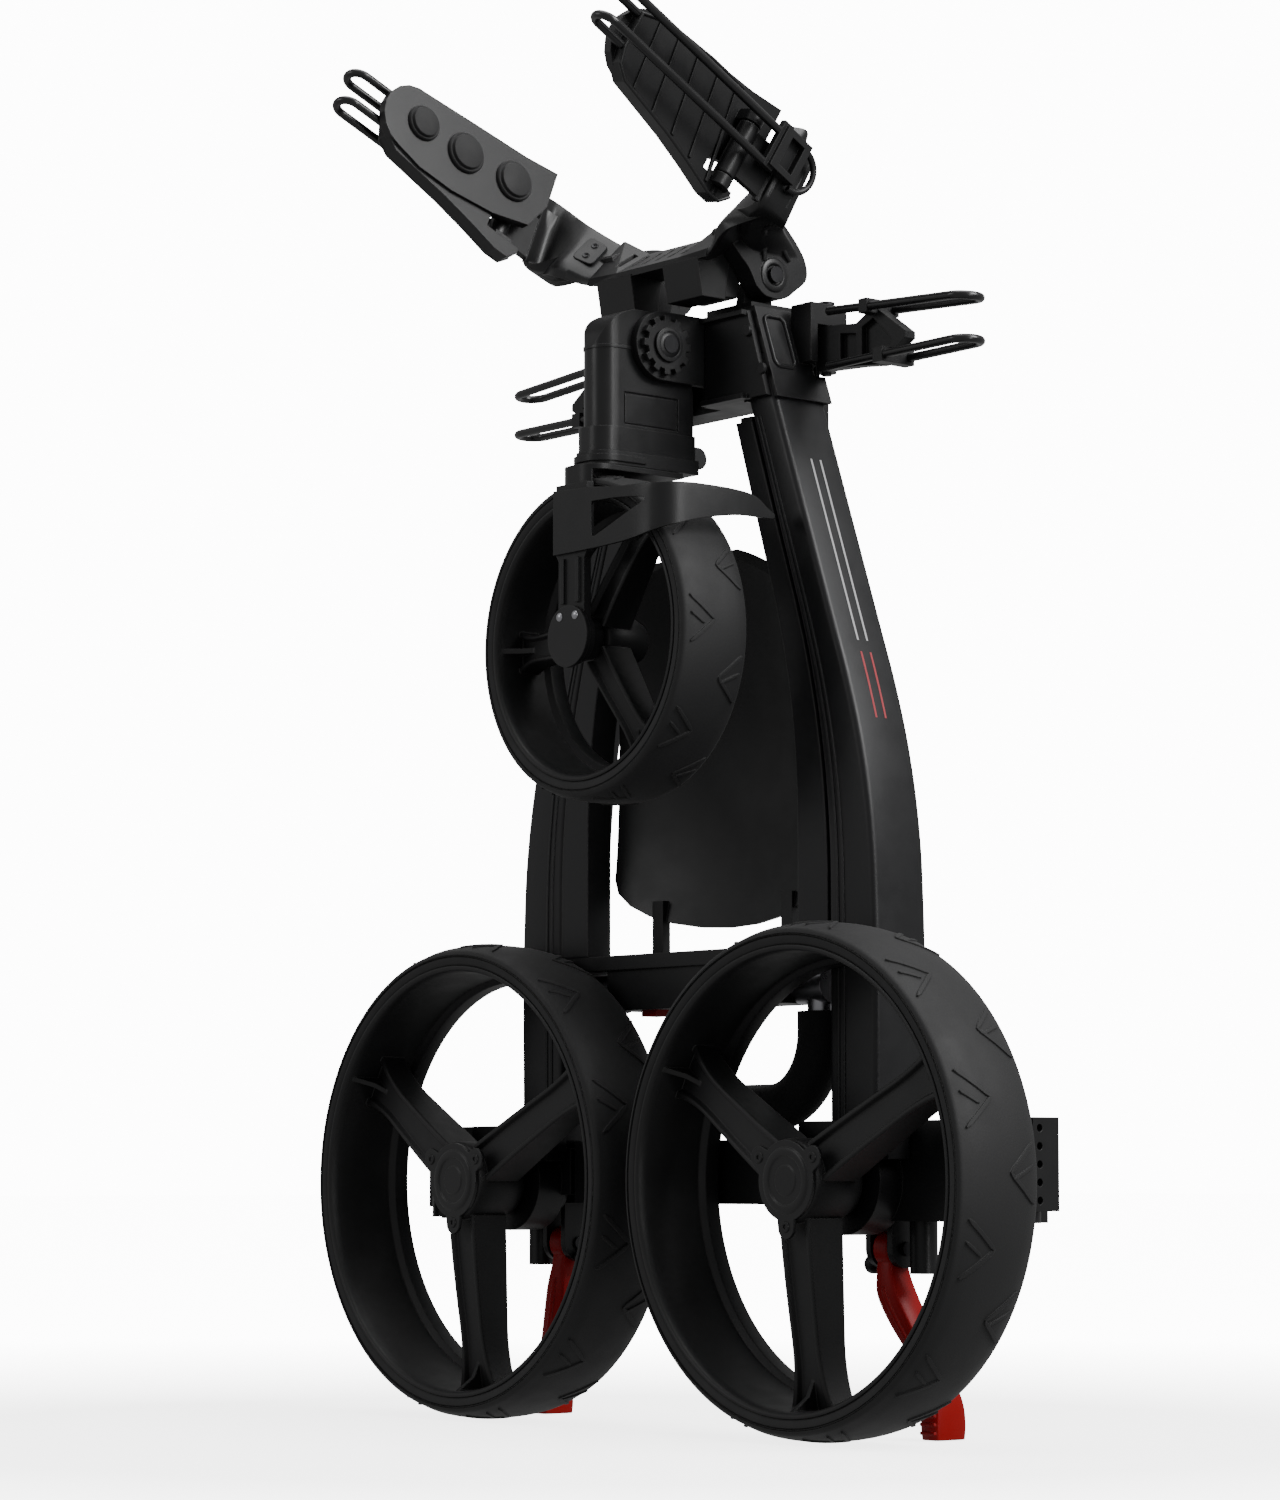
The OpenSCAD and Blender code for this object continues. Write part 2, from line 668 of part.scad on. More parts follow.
module handle_bars() {
  color(CHARCOAL) for (s = [-1, 1]) sided(s) difference() {
    union() {
      slab_y(front_y, front_y + bar_t) bar_outline(crossbar_top, handle_z + 4);
      // ear that reaches back to the hinge pin
      slab_x(bar_edge(handle_z) + 2, inner_edge(handle_z + 7) - bar_gap) union() {
        translate([handle_y, handle_z]) circle(r = 7);
        translate([front_y + 1, handle_z - 7]) square([handle_y - front_y - 1, 14]);
      }
      // hinge pin
      translate([0, handle_y, handle_z])
        rod_x(3.5, bar_edge(handle_z) + 4, inner_edge(handle_z) + 8);
    }
    box([0, front_y - 1, handle_z + 7], [200, front_y + 60, handle_z + 60]);
  }
}

// Shallow dished tray between the bars, open to the front.
module console_tray() {
  z0 = crossbar_top + 15;
  z1 = crossbar_top + 240;
  dish_r = 330;
  y_rim = front_y + bar_t;
  mid = (z0 + z1) / 2;
  color(BLACK) placed() {
    // tabs down to the crossbar
    for (s = [-1, 1]) box([s * 60 - 5, front_y + rail_d - 16, crossbar_top],
      [s * 60 + 5, front_y + rail_d - 10, crossbar_top + 34]);
    difference() {
      intersection() {
        translate([0, y_rim - dish_r + 24, mid - 40]) sphere(r = dish_r, $fn = 96);
        slab_y(front_y + 2, front_y + rail_d) tray_outline(z0, z1);
      }
      translate([0, y_rim - dish_r + 20.5, mid - 40]) sphere(r = dish_r, $fn = 96);
    }
  }
}

module tray_outline(z0, z1) {
  n = 12;
  half = bar_edge(z0) - 0.4;
  polygon(concat(
    [for (i = [0:n]) let (a = 180 + 180 * i / n)
      [half * cos(a), z0 + 34 + 34 * sin(a)]],
    [for (z = heights(z0 + 40, z1, 8)) [bar_edge(z) - 0.4, z]],
    [for (z = heights(z1, z0 + 40, 8)) [-bar_edge(z) + 0.4, z]]));
}

module handle_crossbar() {
  x = grip_x - foam_r - 2;
  color(BLACK) placed() difference() {
    union() {
      box([-x, front_y + 3, grip_z - 11], [x, front_y + rail_d - 5, crossbar_top]);
      box([-(rail_x - 2), front_y + 0.5, crossbar_top - 9],
          [rail_x - 2, front_y + rail_d - 8, crossbar_top]);
    }
    translate([0, grip_y, grip_z]) rod_x(5 + run_gap, -x - 1, -x + 22);
    translate([0, grip_y, grip_z]) rod_x(5 + run_gap, x - 22, x + 1);
    // pocket for the release button
    box([-x + 24 - side_gap, front_y + 8 - side_gap, grip_z - 12],
        [-x + 42 + side_gap, front_y + 22 + side_gap, grip_z + 4]);
  }
}

// Path of the grip: two legs, two corners and the bottom run.
module grip_path(r, top) {
  bend = 44;
  for (s = [-1, 1]) {
    translate([s * grip_x, grip_y, loop_low + bend])
      cylinder(r = r, h = top - loop_low - bend);
    translate([s * (grip_x - bend), grip_y, loop_low + bend])
      rotate([90, 0, 0]) rotate_extrude(angle = 90, start = s > 0 ? 270 : 180)
        translate([bend, 0]) circle(r = r);
  }
  translate([0, grip_y, loop_low]) rod_x(r, -(grip_x - bend), grip_x - bend);
}

module grip_foam() {
  color(TYRE) placed() difference() {
    grip_path(foam_r, grip_z - 16);
    grip_path(grip_tube_r + run_gap, grip_z - 15);
  }
}

module grip_tube() {
  x = grip_x - foam_r - 2;
  color(STEEL) placed() union() {
    grip_path(grip_tube_r, grip_z);
    for (s = [-1, 1]) mirror([s < 0 ? 1 : 0, 0, 0])
      translate([0, grip_y, grip_z]) {
        rod_x(12, x + side_gap, grip_x + 12);
        rod_x(5, x - 20, x + 1);
      }
  }
}

module release_button() {
  x = grip_x - foam_r - 2;
  color(RED) placed() union() {
    box([-x + 24, front_y + 8, grip_z - 9], [-x + 42, front_y + 22, grip_z - 2]);
    box([-x + 26, front_y + 9, grip_z - 15], [-x + 40, front_y + 21, grip_z - 8]);
  }
}

// ---------------------------------------------------------------- bag cradle

// Plate on the crossbar with two ears for the cradle's tilt pins.
module cradle_base() {
  slot = arm_w / 2 + side_gap + 0.7;
  color(BLACK) placed() difference() {
    union() {
      box([-56, front_y + 2, sleeve_top], [56, front_y + rail_d - 4, sleeve_top + 3.5]);
      box([3 - inner_edge(sleeve_top) + 0.5, front_y + 2, sleeve_top - 2],
          [inner_edge(sleeve_top) - 3.5, front_y + rail_d - 4, sleeve_top + 0.5]);
      for (s = [-1, 1]) mirror([s < 0 ? 1 : 0, 0, 0]) slab_x(39, 46) union() {
        translate([tilt_y, tilt_z]) circle(r = 8);
        polygon([[tilt_y - 8, tilt_z], [tilt_y - 12, sleeve_top + 3],
          [tilt_y + 12, sleeve_top + 3], [tilt_y + 8, tilt_z]]);
      }
    }
    // slot for the arm's head as it swings up
    box([-slot, front_y - 1, sleeve_top - 3], [slot, hinge_y + 50, sleeve_top + 9]);
    translate([0, tilt_y, tilt_z]) rod_x(3, -bridge_x - 1, bridge_x + 1);
  }
}

module cradle_pins() {
  color(STEEL) for (s = [-1, 1]) sided(s) translate([0, tilt_y, tilt_z]) union() {
    rod_x(2.95, 39.5, 62);
    rod_x(5, 61.6, 63.6);
  }
}

// Cross-section of the band where it leaves the bridge.
module band_root() {
  polygon([[bridge_y - 10, bridge_z], [bridge_y + 17, bridge_z + 12],
    [bridge_y + 18, bridge_z + 32], [bridge_y - 9, bridge_z + 5]]);
}

module bridge_profile() {
  y0 = bridge_y - 9;
  y1 = bridge_y + 16;
  polygon([[y0, bridge_z], [y1, bridge_z], [y1 + 2, bridge_z + 20], [y0, bridge_z + 4]]);
}

// Middle of the yoke: a slotted plate under the bag on two deep blocks.
module cradle_bridge() {
  color(BLACK) placed() difference() {
    union() {
      slab_x(-32, 32) bridge_profile();
      for (s = [-1, 1]) mirror([s < 0 ? 1 : 0, 0, 0]) {
        hull() {
          slab_x(30, 32) bridge_profile();
          slab_x(bridge_x - 2, bridge_x) band_root();
        }
        slab_x(arm_w / 2 + 2, 48) polygon([[bridge_y - 10, bridge_z + 1],
          [bridge_y - 6, bridge_z - 22], [bridge_y + 12, bridge_z - 22],
          [bridge_y + 16, bridge_z + 6]]);
      }
    }
    for (i = [-3:3]) box([i * 12 - 2, bridge_y - 3, bridge_z + 3],
      [i * 12 + 2, bridge_y + 12, bridge_z + 40]);
    for (s = [-1, 1]) mirror([s < 0 ? 1 : 0, 0, 0]) slab_x(47, bridge_x + 1) column_foot();
  }
}

// Puts things on a pad: x outwards, y back along the pad, z across it.
module at_pad() {
  translate([pad_x, pad_y, pad_z]) rotate([-pad_rise, pad_lean, 0]) children();
}

// A bag pad drawn flat: u runs from the root to the tip, v across.
module pad_outline() {
  top = pad_root_w * 0.68;
  low = pad_root_w * -0.45;
  tip_u = pad_len - 22;
  tip_r = 22;
  polygon(concat(
    [[-4, top + 2], [-4.4, top - 25], [4, low + 10], [30, low + 1], [62, low - 4],
      [tip_u - 15, low - 4]],
    [for (i = [0:8]) let (a = -80 + 20 * i)
      [tip_u + tip_r * cos(a), 1 + tip_r * sin(a) * 1.05]],
    [[tip_u, 24], [tip_u * 0.58, 28], [tip_u * 0.2, top - 2]]));
}

module pad_plate(x0, x1) {
  translate([x0, 0, 0]) rotate([90, 0, 90]) linear_extrude(x1 - x0)
    mirror([1, 0]) pad_outline();
}

// Cross-section of the band half way up.
module band_middle() {
  polygon([[bridge_y - 19, bridge_z + 6], [bridge_y + 13, bridge_z + 28],
    [bridge_y + 14, bridge_z + 46], [bridge_y - 20, bridge_z + 14]]);
}

// Plate round the tilt pin at the column's foot.
module column_foot() {
  translate([tilt_y, tilt_z]) polygon([
    [-14, -8], [-6, -14], [8, -14], [16, -7], [27, 0], [26, 12], [14, 28], [4, 36],
    [-20, 30], [-40, 24], [-30, 10], [-20, 2]]);
}

// Cross-section of the column half way up, from the tilt pin.
module column_middle() {
  polygon([[-46, 14], [-12, 16], [-11, 32], [-44, 30]]);
}

// Yoke arm: a band that curves from the bridge up to the pad, and a column
// behind it that stands on the tilt pin.
module cradle_arm(side) {
  x0 = bridge_x;
  color(BLACK) sided(side) difference() {
    union() {
      hull() {
        slab_x(x0, x0 + 4) band_root();
        slab_x(x0 + 23, x0 + 27) band_middle();
      }
      hull() {
        slab_x(x0 + 23, x0 + 27) band_middle();
        at_pad() box([13, 9, -26], [18, 24, 28]);
      }
      // column round the tilt pin
      slab_x(47, 61) column_foot();
      hull() {
        slab_x(49, 61) translate([tilt_y, tilt_z]) polygon([
          [-16, 7], [20, 7], [16, 26], [-18, 30]]);
        slab_x(76, 84) translate([tilt_y, tilt_z]) column_middle();
      }
      hull() {
        slab_x(76, 84) translate([tilt_y, tilt_z]) column_middle();
        at_pad() box([14, 10, -30], [21, 36, 20]);
      }
      // link to the pad's hinge eye
      at_pad() hull() {
        box([13.5, 9, -24], [19, 16, 8]);
        box([pin_x - 1, -pin_u - 1, -24], [pin_x + 4, -pin_u + 5, 8]);
      }
      at_pad() translate([pin_x, -pin_u, -26.4]) cylinder(r = 6.6, h = 36);
      at_pad() translate([pin_x, -pin_u, -33]) cylinder(r = 3, h = 49);
    }
    translate([0, tilt_y, tilt_z]) rod_x(2.95 + run_gap, 40, 61.5);
  }
}

// Back shell of a pad, drawn flat: it hangs lower than the front plate.
module shell_outline() {
  k = pad_len / 125;
  polygon([[4, -34], [10, -41], [20, -41], [40, -36], [64 * k, -31], [106 * k, -25],
    [115 * k, -18], [118 * k, -8], [118 * k, 16], [100 * k, 23], [60 * k, 26], [30, 26],
    [30, -30], [4, -30]]);
}

module bag_pad(side) {
  color(BLACK) sided(side) at_pad() difference() {
    union() {
      pad_plate(0, pad_plate_t);
      rotate([90, 0, 90]) translate([0, 0, 2]) linear_extrude(10)
        mirror([1, 0]) shell_outline();
      // hinge ears
      translate([0, 0, -34]) ear_block();
      translate([0, 0, 10.2]) ear_block();
    }
    translate([pin_x, -pin_u, -50]) cylinder(r = 3 + run_gap, h = 80);
  }
}

module ear_block() {
  translate([pin_x, -pin_u, 0]) cylinder(r = 6.6, h = 7);
  box([3, -pin_u - 6.6, 0], [pin_x, -pin_u + 6.6, 7]);
}

module pad_buttons(side) {
  color(TYRE) sided(side) at_pad() for (k = [[24, 9, 13.5], [62, 4, 13.5], [96, 3, 11.5]])
    translate([0, -k[0] * pad_len / 125, k[1]]) {
      rod_x(k[2], -3, 0);
      rod_x(k[2] - 3, -4.5, -2.5);
    }
}

module strap_buckle(side) {
  color(BLACK) sided(side) at_pad() difference() {
    union() {
      box([22, -2, -8], [30, 20, 19]);
      box([24, -5, -10], [28, 3, 21]);
      // wire ring behind the buckle
      translate([26, 20, 3]) rotate([90, 0, 90])
        rotate_extrude(angle = 180, start = -90) translate([13, 0]) circle(r = 2);
    }
    box([25, 4, -4], [31, 15, 15]);
  }
}

// Hairpin of coated wire that runs along the pad and turns round past its tip.
module strap_wire(z, y_end) {
  translate([strap_xc, y_end, z]) {
    rotate([0, 0, 180]) rotate_extrude(angle = 180) translate([strap_loop_r, 0]) circle(r = wire_r);
    translate([strap_loop_r, 0, 0]) rod_y(wire_r, -0.01, -y_end - 5.1);
    translate([-strap_loop_r, 0, 0]) rod_y(wire_r, -0.01, -y_end - pad_len * 0.946);
  }
}

module strap_wires(side) {
  color(BLACK) sided(side) at_pad() for (z = [14, -8]) strap_wire(z, -pad_len - 13);
}

// ---------------------------------------------------------------- bag wings

// Bag wing: swings about an upright pin in the sleeve's bracket.
module bag_wing(side) {
  h = 28 - 2 * side_gap;
  z0 = wing_z - h / 2;
  color(BLACK) sided(side) difference() {
    union() {
      translate([wing_x, wing_y, z0]) cylinder(r = wing_eye_r, h = h);
      translate([wing_x, wing_y - 8, z0]) cube([14, 8, h]);
      slab_y(wing_y - 8, wing_y) translate([wing_root, wing_z]) polygon([
        [13, -h / 2], [40, -15], [58, -17], [81, -4], [81, 0], [54, 19], [38, 11],
        [13, h / 2]]);
      // clips that hold the wires
      box([wing_root + 50, wing_y - 17, wing_z + 14], [wing_root + 57, wing_y + 9.5, wing_z + 22.5]);
      box([wing_root + 62, wing_y - 17, wing_z - 17.5], [wing_root + 70, wing_y + 9.5, wing_z - 8.5]);
    }
    for (k = wing_rows) at_wire(k) {
      translate([0, -wire_gap, 0]) rod_x(wire_r + run_gap, wing_root + 19, wing_root + 90);
      translate([0, wire_gap, 0]) rod_x(wire_r + run_gap, wing_root + k[1] - 0.1, wing_root + 90);
    }
    translate([wing_x, wing_y, z0 - 1]) cylinder(r = 3 + run_gap, h = h + 2);
    // hollows that leave ribs in the front face
    slab_y(wing_y - 9, wing_y - 4) translate([wing_root, wing_z])
      polygon([[24, -9], [38, -13], [38, 5], [24, 7]]);
    slab_y(wing_y - 9, wing_y - 4) translate([wing_root, wing_z])
      polygon([[43, -11], [57, -12], [70, -4], [53, 12], [43, 8]]);
  }
}

module wing_pins() {
  color(STEEL) for (s = [-1, 1]) sided(s) union() {
    translate([wing_x, wing_y, wing_z - 14.8]) cylinder(r = 2.95, h = sleeve_top + 3 - wing_z + 14.8);
    translate([wing_x, wing_y, sleeve_top + 2]) cylinder(r = 5, h = 2);
  }
}

// Puts things on a wing wire: x outwards, y = 0 midway between its legs.
module at_wire(k) {
  translate([wire_end, wing_y - 4, wing_z + k[0]]) rotate([0, k[2], 0])
    translate([-wire_end, 0, 0]) children();
}

// Two hairpins of coated wire that run out past the wing's tip.
module wing_wires(side) {
  color(BLACK) sided(side) for (k = wing_rows) at_wire(k) {
    translate([wire_end, 0, 0]) rotate([0, 0, -90])
      rotate_extrude(angle = 180) translate([wire_gap, 0]) circle(r = wire_r);
    translate([0, -wire_gap, 0]) rod_x(wire_r, wing_root + 20, wire_end + 0.01);
    translate([0, wire_gap, 0]) rod_x(wire_r, wing_root + k[1], wire_end + 0.01);
  }
}

axle_beam();
fold_pins();
end_plates();
lever_pins();
rail(-1);  // rail_left
rail(1);  // rail_right
top_sleeve(-1);  // top_sleeve_left
top_sleeve(1);  // top_sleeve_right
top_crossbar();
crossbar_cover();
crossbar_bolts();
lock_disc();
hinge_bolt();
cradle_base();
cradle_pins();
cradle_bridge();
knuckle(-1);  // knuckle_left
knuckle(1);  // knuckle_right
rear_axle(-1);  // rear_axle_left
rear_axle(1);  // rear_axle_right
rear_tyre(-1);  // rear_tyre_left
rear_tyre(1);  // rear_tyre_right
rear_rim(-1);  // rear_rim_left
rear_rim(1);  // rear_rim_right
hub_cap(-1);  // hub_cap_left
hub_cap(1);  // hub_cap_right
rear_bearings(-1);  // rear_bearings_left
rear_bearings(1);  // rear_bearings_right
foot_lever(-1);  // foot_lever_left
foot_lever(1);  // foot_lever_right
front_arm();
arm_collar();
fork_bar();
wheel_guard();
front_hub_cover();
front_axle();
front_tyre();
front_rim();
front_bearings();
handle_bars();
console_tray();
handle_crossbar();
grip_foam();
grip_tube();
release_button();
cradle_arm(-1);  // cradle_arm_left
cradle_arm(1);  // cradle_arm_right
bag_pad(-1);  // bag_pad_left
bag_pad(1);  // bag_pad_right
pad_buttons(-1);  // pad_buttons_left
pad_buttons(1);  // pad_buttons_right
strap_buckle(-1);  // strap_buckle_left
strap_buckle(1);  // strap_buckle_right
strap_wires(-1);  // strap_wires_left
strap_wires(1);  // strap_wires_right
bag_wing(-1);  // bag_wing_left
bag_wing(1);  // bag_wing_right
wing_pins();
wing_wires(-1);  // wing_wires_left
wing_wires(1);  // wing_wires_right
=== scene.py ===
import math

import bmesh
import bpy
from mathutils import Matrix, Vector
from mathutils.geometry import delaunay_2d_cdt


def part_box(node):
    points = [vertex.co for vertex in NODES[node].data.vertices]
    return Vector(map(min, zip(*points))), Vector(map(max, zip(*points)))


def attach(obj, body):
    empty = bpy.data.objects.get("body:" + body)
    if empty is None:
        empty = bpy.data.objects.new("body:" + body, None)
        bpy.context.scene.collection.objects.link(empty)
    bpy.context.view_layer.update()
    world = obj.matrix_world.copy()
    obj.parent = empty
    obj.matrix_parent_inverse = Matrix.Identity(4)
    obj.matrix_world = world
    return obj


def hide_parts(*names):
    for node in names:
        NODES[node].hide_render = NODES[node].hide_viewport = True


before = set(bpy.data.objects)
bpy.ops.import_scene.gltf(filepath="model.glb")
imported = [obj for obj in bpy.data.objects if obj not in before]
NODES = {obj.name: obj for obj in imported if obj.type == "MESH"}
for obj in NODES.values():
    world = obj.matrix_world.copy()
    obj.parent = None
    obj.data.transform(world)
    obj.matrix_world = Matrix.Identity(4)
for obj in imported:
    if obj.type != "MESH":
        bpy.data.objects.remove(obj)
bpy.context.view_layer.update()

MM = 0.001
SIDES = {"left": -1, "right": 1}


# ------------------------------------------------------------------ materials

def node(tree, kind, **values):
    """A shader node with its sockets or properties set by name."""
    made = tree.nodes.new(kind)
    for name, value in values.items():
        if name in made.inputs:
            made.inputs[name].default_value = value
        else:
            setattr(made, name, value)
    return made


def noise(tree, scale, detail=3.0):
    coords = node(tree, "ShaderNodeTexCoord")
    made = node(tree, "ShaderNodeTexNoise", Scale=scale, Detail=detail)
    tree.links.new(coords.outputs["Object"], made.inputs["Vector"])
    return made.outputs["Fac"]


def remap(tree, source, low, high, start=0.35, end=0.65):
    """Maps a 0 to 1 texture value to low..high."""
    made = node(tree, "ShaderNodeMapRange")
    for name, value in (("From Min", start), ("From Max", end), ("To Min", low), ("To Max", high)):
        made.inputs[name].default_value = value
    tree.links.new(source, made.inputs["Value"])
    return made.outputs["Result"]


def mix_colour(tree, factor, first, second):
    made = node(tree, "ShaderNodeMix", data_type="RGBA")
    tree.links.new(factor, made.inputs[0])
    for socket, value in ((made.inputs[6], first), (made.inputs[7], second)):
        if isinstance(value, bpy.types.NodeSocket):
            tree.links.new(value, socket)
        else:
            socket.default_value = (*value, 1)
    return made.outputs[2]


def edge_mask(tree, radius):
    """1 on edges, lightened there as wear and painted highlight, 0 on flat faces: how far the rounded
    normal leans.
    """
    rounded = node(tree, "ShaderNodeBevel", samples=4, Radius=radius)
    flat = node(tree, "ShaderNodeNewGeometry")
    dot = node(tree, "ShaderNodeVectorMath", operation="DOT_PRODUCT")
    tree.links.new(rounded.outputs[0], dot.inputs[0])
    tree.links.new(flat.outputs["Normal"], dot.inputs[1])
    return remap(tree, dot.outputs["Value"], 1.0, 0.0, 0.80, 0.99)


def make_material(name, colour, rough, metallic=0.0, mottle=0.07, grain=900.0, depth=0.05,
                  cells=0.0, edge_wear_and_highlight=0.0, rounding=0.8, coat=0.0, sheen=0.0, specular=0.5,
                  brushed=False):
    """A moulded, painted or metal surface with grain, mottling, edges lightened as wear and painted
    highlight, and rounded corners.
    """
    made = bpy.data.materials.new(name)
    made.use_nodes = True
    tree = made.node_tree
    shader = tree.nodes["Principled BSDF"]
    shader.inputs["Metallic"].default_value = metallic
    shader.inputs["Coat Weight"].default_value = coat
    shader.inputs["Coat Roughness"].default_value = 0.25
    shader.inputs["Sheen Weight"].default_value = sheen
    shader.inputs["Sheen Roughness"].default_value = 0.45
    shader.inputs["Specular IOR Level"].default_value = specular
    darker = [c * (1 - mottle) for c in colour]
    lighter = [min(1, c * (1 + mottle)) for c in colour]
    tint = mix_colour(tree, noise(tree, 22.0, 4.0), darker, lighter)
    # edges are lighter in colour: partly wear, partly painted highlight
    if edge_wear_and_highlight > 0:
        worn_and_highlit = [min(1, c + edge_wear_and_highlight) for c in colour]
        tint = mix_colour(tree, edge_mask(tree, 1.2 * MM), tint, worn_and_highlit)
    tree.links.new(tint, shader.inputs["Base Color"])
    gloss = remap(tree, noise(tree, 60.0, 5.0), rough - 0.03, rough + 0.04)
    tree.links.new(gloss, shader.inputs["Roughness"])
    height = noise(tree, grain, 2.0)
    if brushed:
        coords = node(tree, "ShaderNodeTexCoord")
        stretch = node(tree, "ShaderNodeMapping", Scale=(2500, 2500, 40))
        lines = node(tree, "ShaderNodeTexNoise", Scale=1.0, Detail=2.0)
        tree.links.new(coords.outputs["Object"], stretch.inputs["Vector"])
        tree.links.new(stretch.outputs[0], lines.inputs["Vector"])
        height = lines.outputs["Fac"]
    if cells > 0:
        coords = node(tree, "ShaderNodeTexCoord")
        pores = node(tree, "ShaderNodeTexVoronoi", Scale=cells)
        tree.links.new(coords.outputs["Object"], pores.inputs["Vector"])
        height = pores.outputs["Distance"]
    bump = node(tree, "ShaderNodeBump", Strength=0.5, Distance=depth * MM)
    tree.links.new(height, bump.inputs["Height"])
    corner = node(tree, "ShaderNodeBevel", samples=4, Radius=rounding * MM)
    tree.links.new(corner.outputs[0], bump.inputs["Normal"])
    tree.links.new(bump.outputs["Normal"], shader.inputs["Normal"])
    return made


BLACK = make_material("black_plastic", (0.0065, 0.0065, 0.007), 0.42, grain=1400, depth=0.06,
                      edge_wear_and_highlight=0.012, coat=0.08, specular=0.32)
SATIN = make_material("satin_plastic", (0.007, 0.007, 0.0075), 0.36, grain=1100, depth=0.04,
                      edge_wear_and_highlight=0.014, coat=0.12, specular=0.34)
RAIL = make_material("charcoal_aluminium", (0.011, 0.011, 0.012), 0.38, metallic=0.2,
                     grain=2200, depth=0.05, edge_wear_and_highlight=0.03, rounding=1.6, mottle=0.06, specular=0.4)
RIM = make_material("charcoal_nylon", (0.010, 0.010, 0.0105), 0.46, grain=1300, depth=0.08,
                    edge_wear_and_highlight=0.012, rounding=1.0, specular=0.35)
RUBBER = make_material("tyre_rubber", (0.010, 0.010, 0.0105), 0.62, grain=700, depth=0.12,
                       mottle=0.18, sheen=0.06, specular=0.35)
FOAM = make_material("grip_foam", (0.008, 0.008, 0.0085), 0.82, cells=1500, depth=0.22,
                     sheen=0.15, specular=0.2)
RED = make_material("red_nylon", (0.26, 0.0008, 0.002), 0.42, grain=1200, depth=0.05,
                    edge_wear_and_highlight=0.015, specular=0.22)
STEEL = make_material("zinc_steel", (0.36, 0.36, 0.38), 0.30, metallic=1.0, depth=0.03,
                      brushed=True, rounding=0.3)
DARK_STEEL = make_material("blackened_steel", (0.035, 0.035, 0.037), 0.34, metallic=0.9,
                           depth=0.03, brushed=True, rounding=0.3)
WIRE = make_material("coated_wire", (0.006, 0.006, 0.0065), 0.28, grain=500, depth=0.03,
                     coat=0.3, rounding=0.2, specular=0.4)
MARK = make_material("pale_print", (0.40, 0.40, 0.41), 0.45, grain=1500, depth=0.02,
                     rounding=0.1)
RED_MARK = make_material("red_print", (0.35, 0.02, 0.03), 0.45, grain=1500, depth=0.02,
                         rounding=0.1)

FINISHES = {
    "tyre": (RUBBER, "tyre_rubber"), "foam": (FOAM, "soft_rubber"),
    "rail": (RAIL, "charcoal_aluminium"), "rim": (RIM, "rim_plastic"),
    "black": (BLACK, "black_plastic"), "satin": (SATIN, "black_plastic"),
    "red": (RED, "red_plastic"), "steel": (STEEL, "steel"),
    "dark_steel": (DARK_STEEL, "steel"), "wire": (WIRE, "black_plastic"),
    "button": (RUBBER, "soft_rubber"),
    "mark": (MARK, "charcoal_aluminium"), "red_mark": (RED_MARK, "red_plastic"),
}


# ------------------------------------------------------------------ mesh helpers

def new_piece(name, verts, faces, finish, body, bevel=0.0, smooth_angle=32):
    """A mesh object in metres that rides on a body, with soft or sharp edges by angle."""
    mesh = bpy.data.meshes.new(name)
    mesh.from_pydata([tuple(v) for v in verts], [], faces)
    bm = bmesh.new()
    bm.from_mesh(mesh)
    bmesh.ops.remove_doubles(bm, verts=bm.verts, dist=1e-6)
    bmesh.ops.recalc_face_normals(bm, faces=bm.faces)
    limit = math.radians(smooth_angle)
    for face in bm.faces:
        face.smooth = True
    for edge in bm.edges:
        edge.smooth = len(edge.link_faces) == 2 and edge.calc_face_angle(0) < limit
    bm.to_mesh(mesh)
    bm.free()
    made = bpy.data.objects.new(name, mesh)
    bpy.context.scene.collection.objects.link(made)
    material, slot = FINISHES[finish]
    mesh.materials.append(material)
    if bevel > 0:
        rounding = made.modifiers.new("rounding", "BEVEL")
        rounding.width = bevel * MM
        rounding.segments = 2
        rounding.limit_method = "ANGLE"
        rounding.angle_limit = limit
        rounding.harden_normals = True
    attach(made, body)
    return made


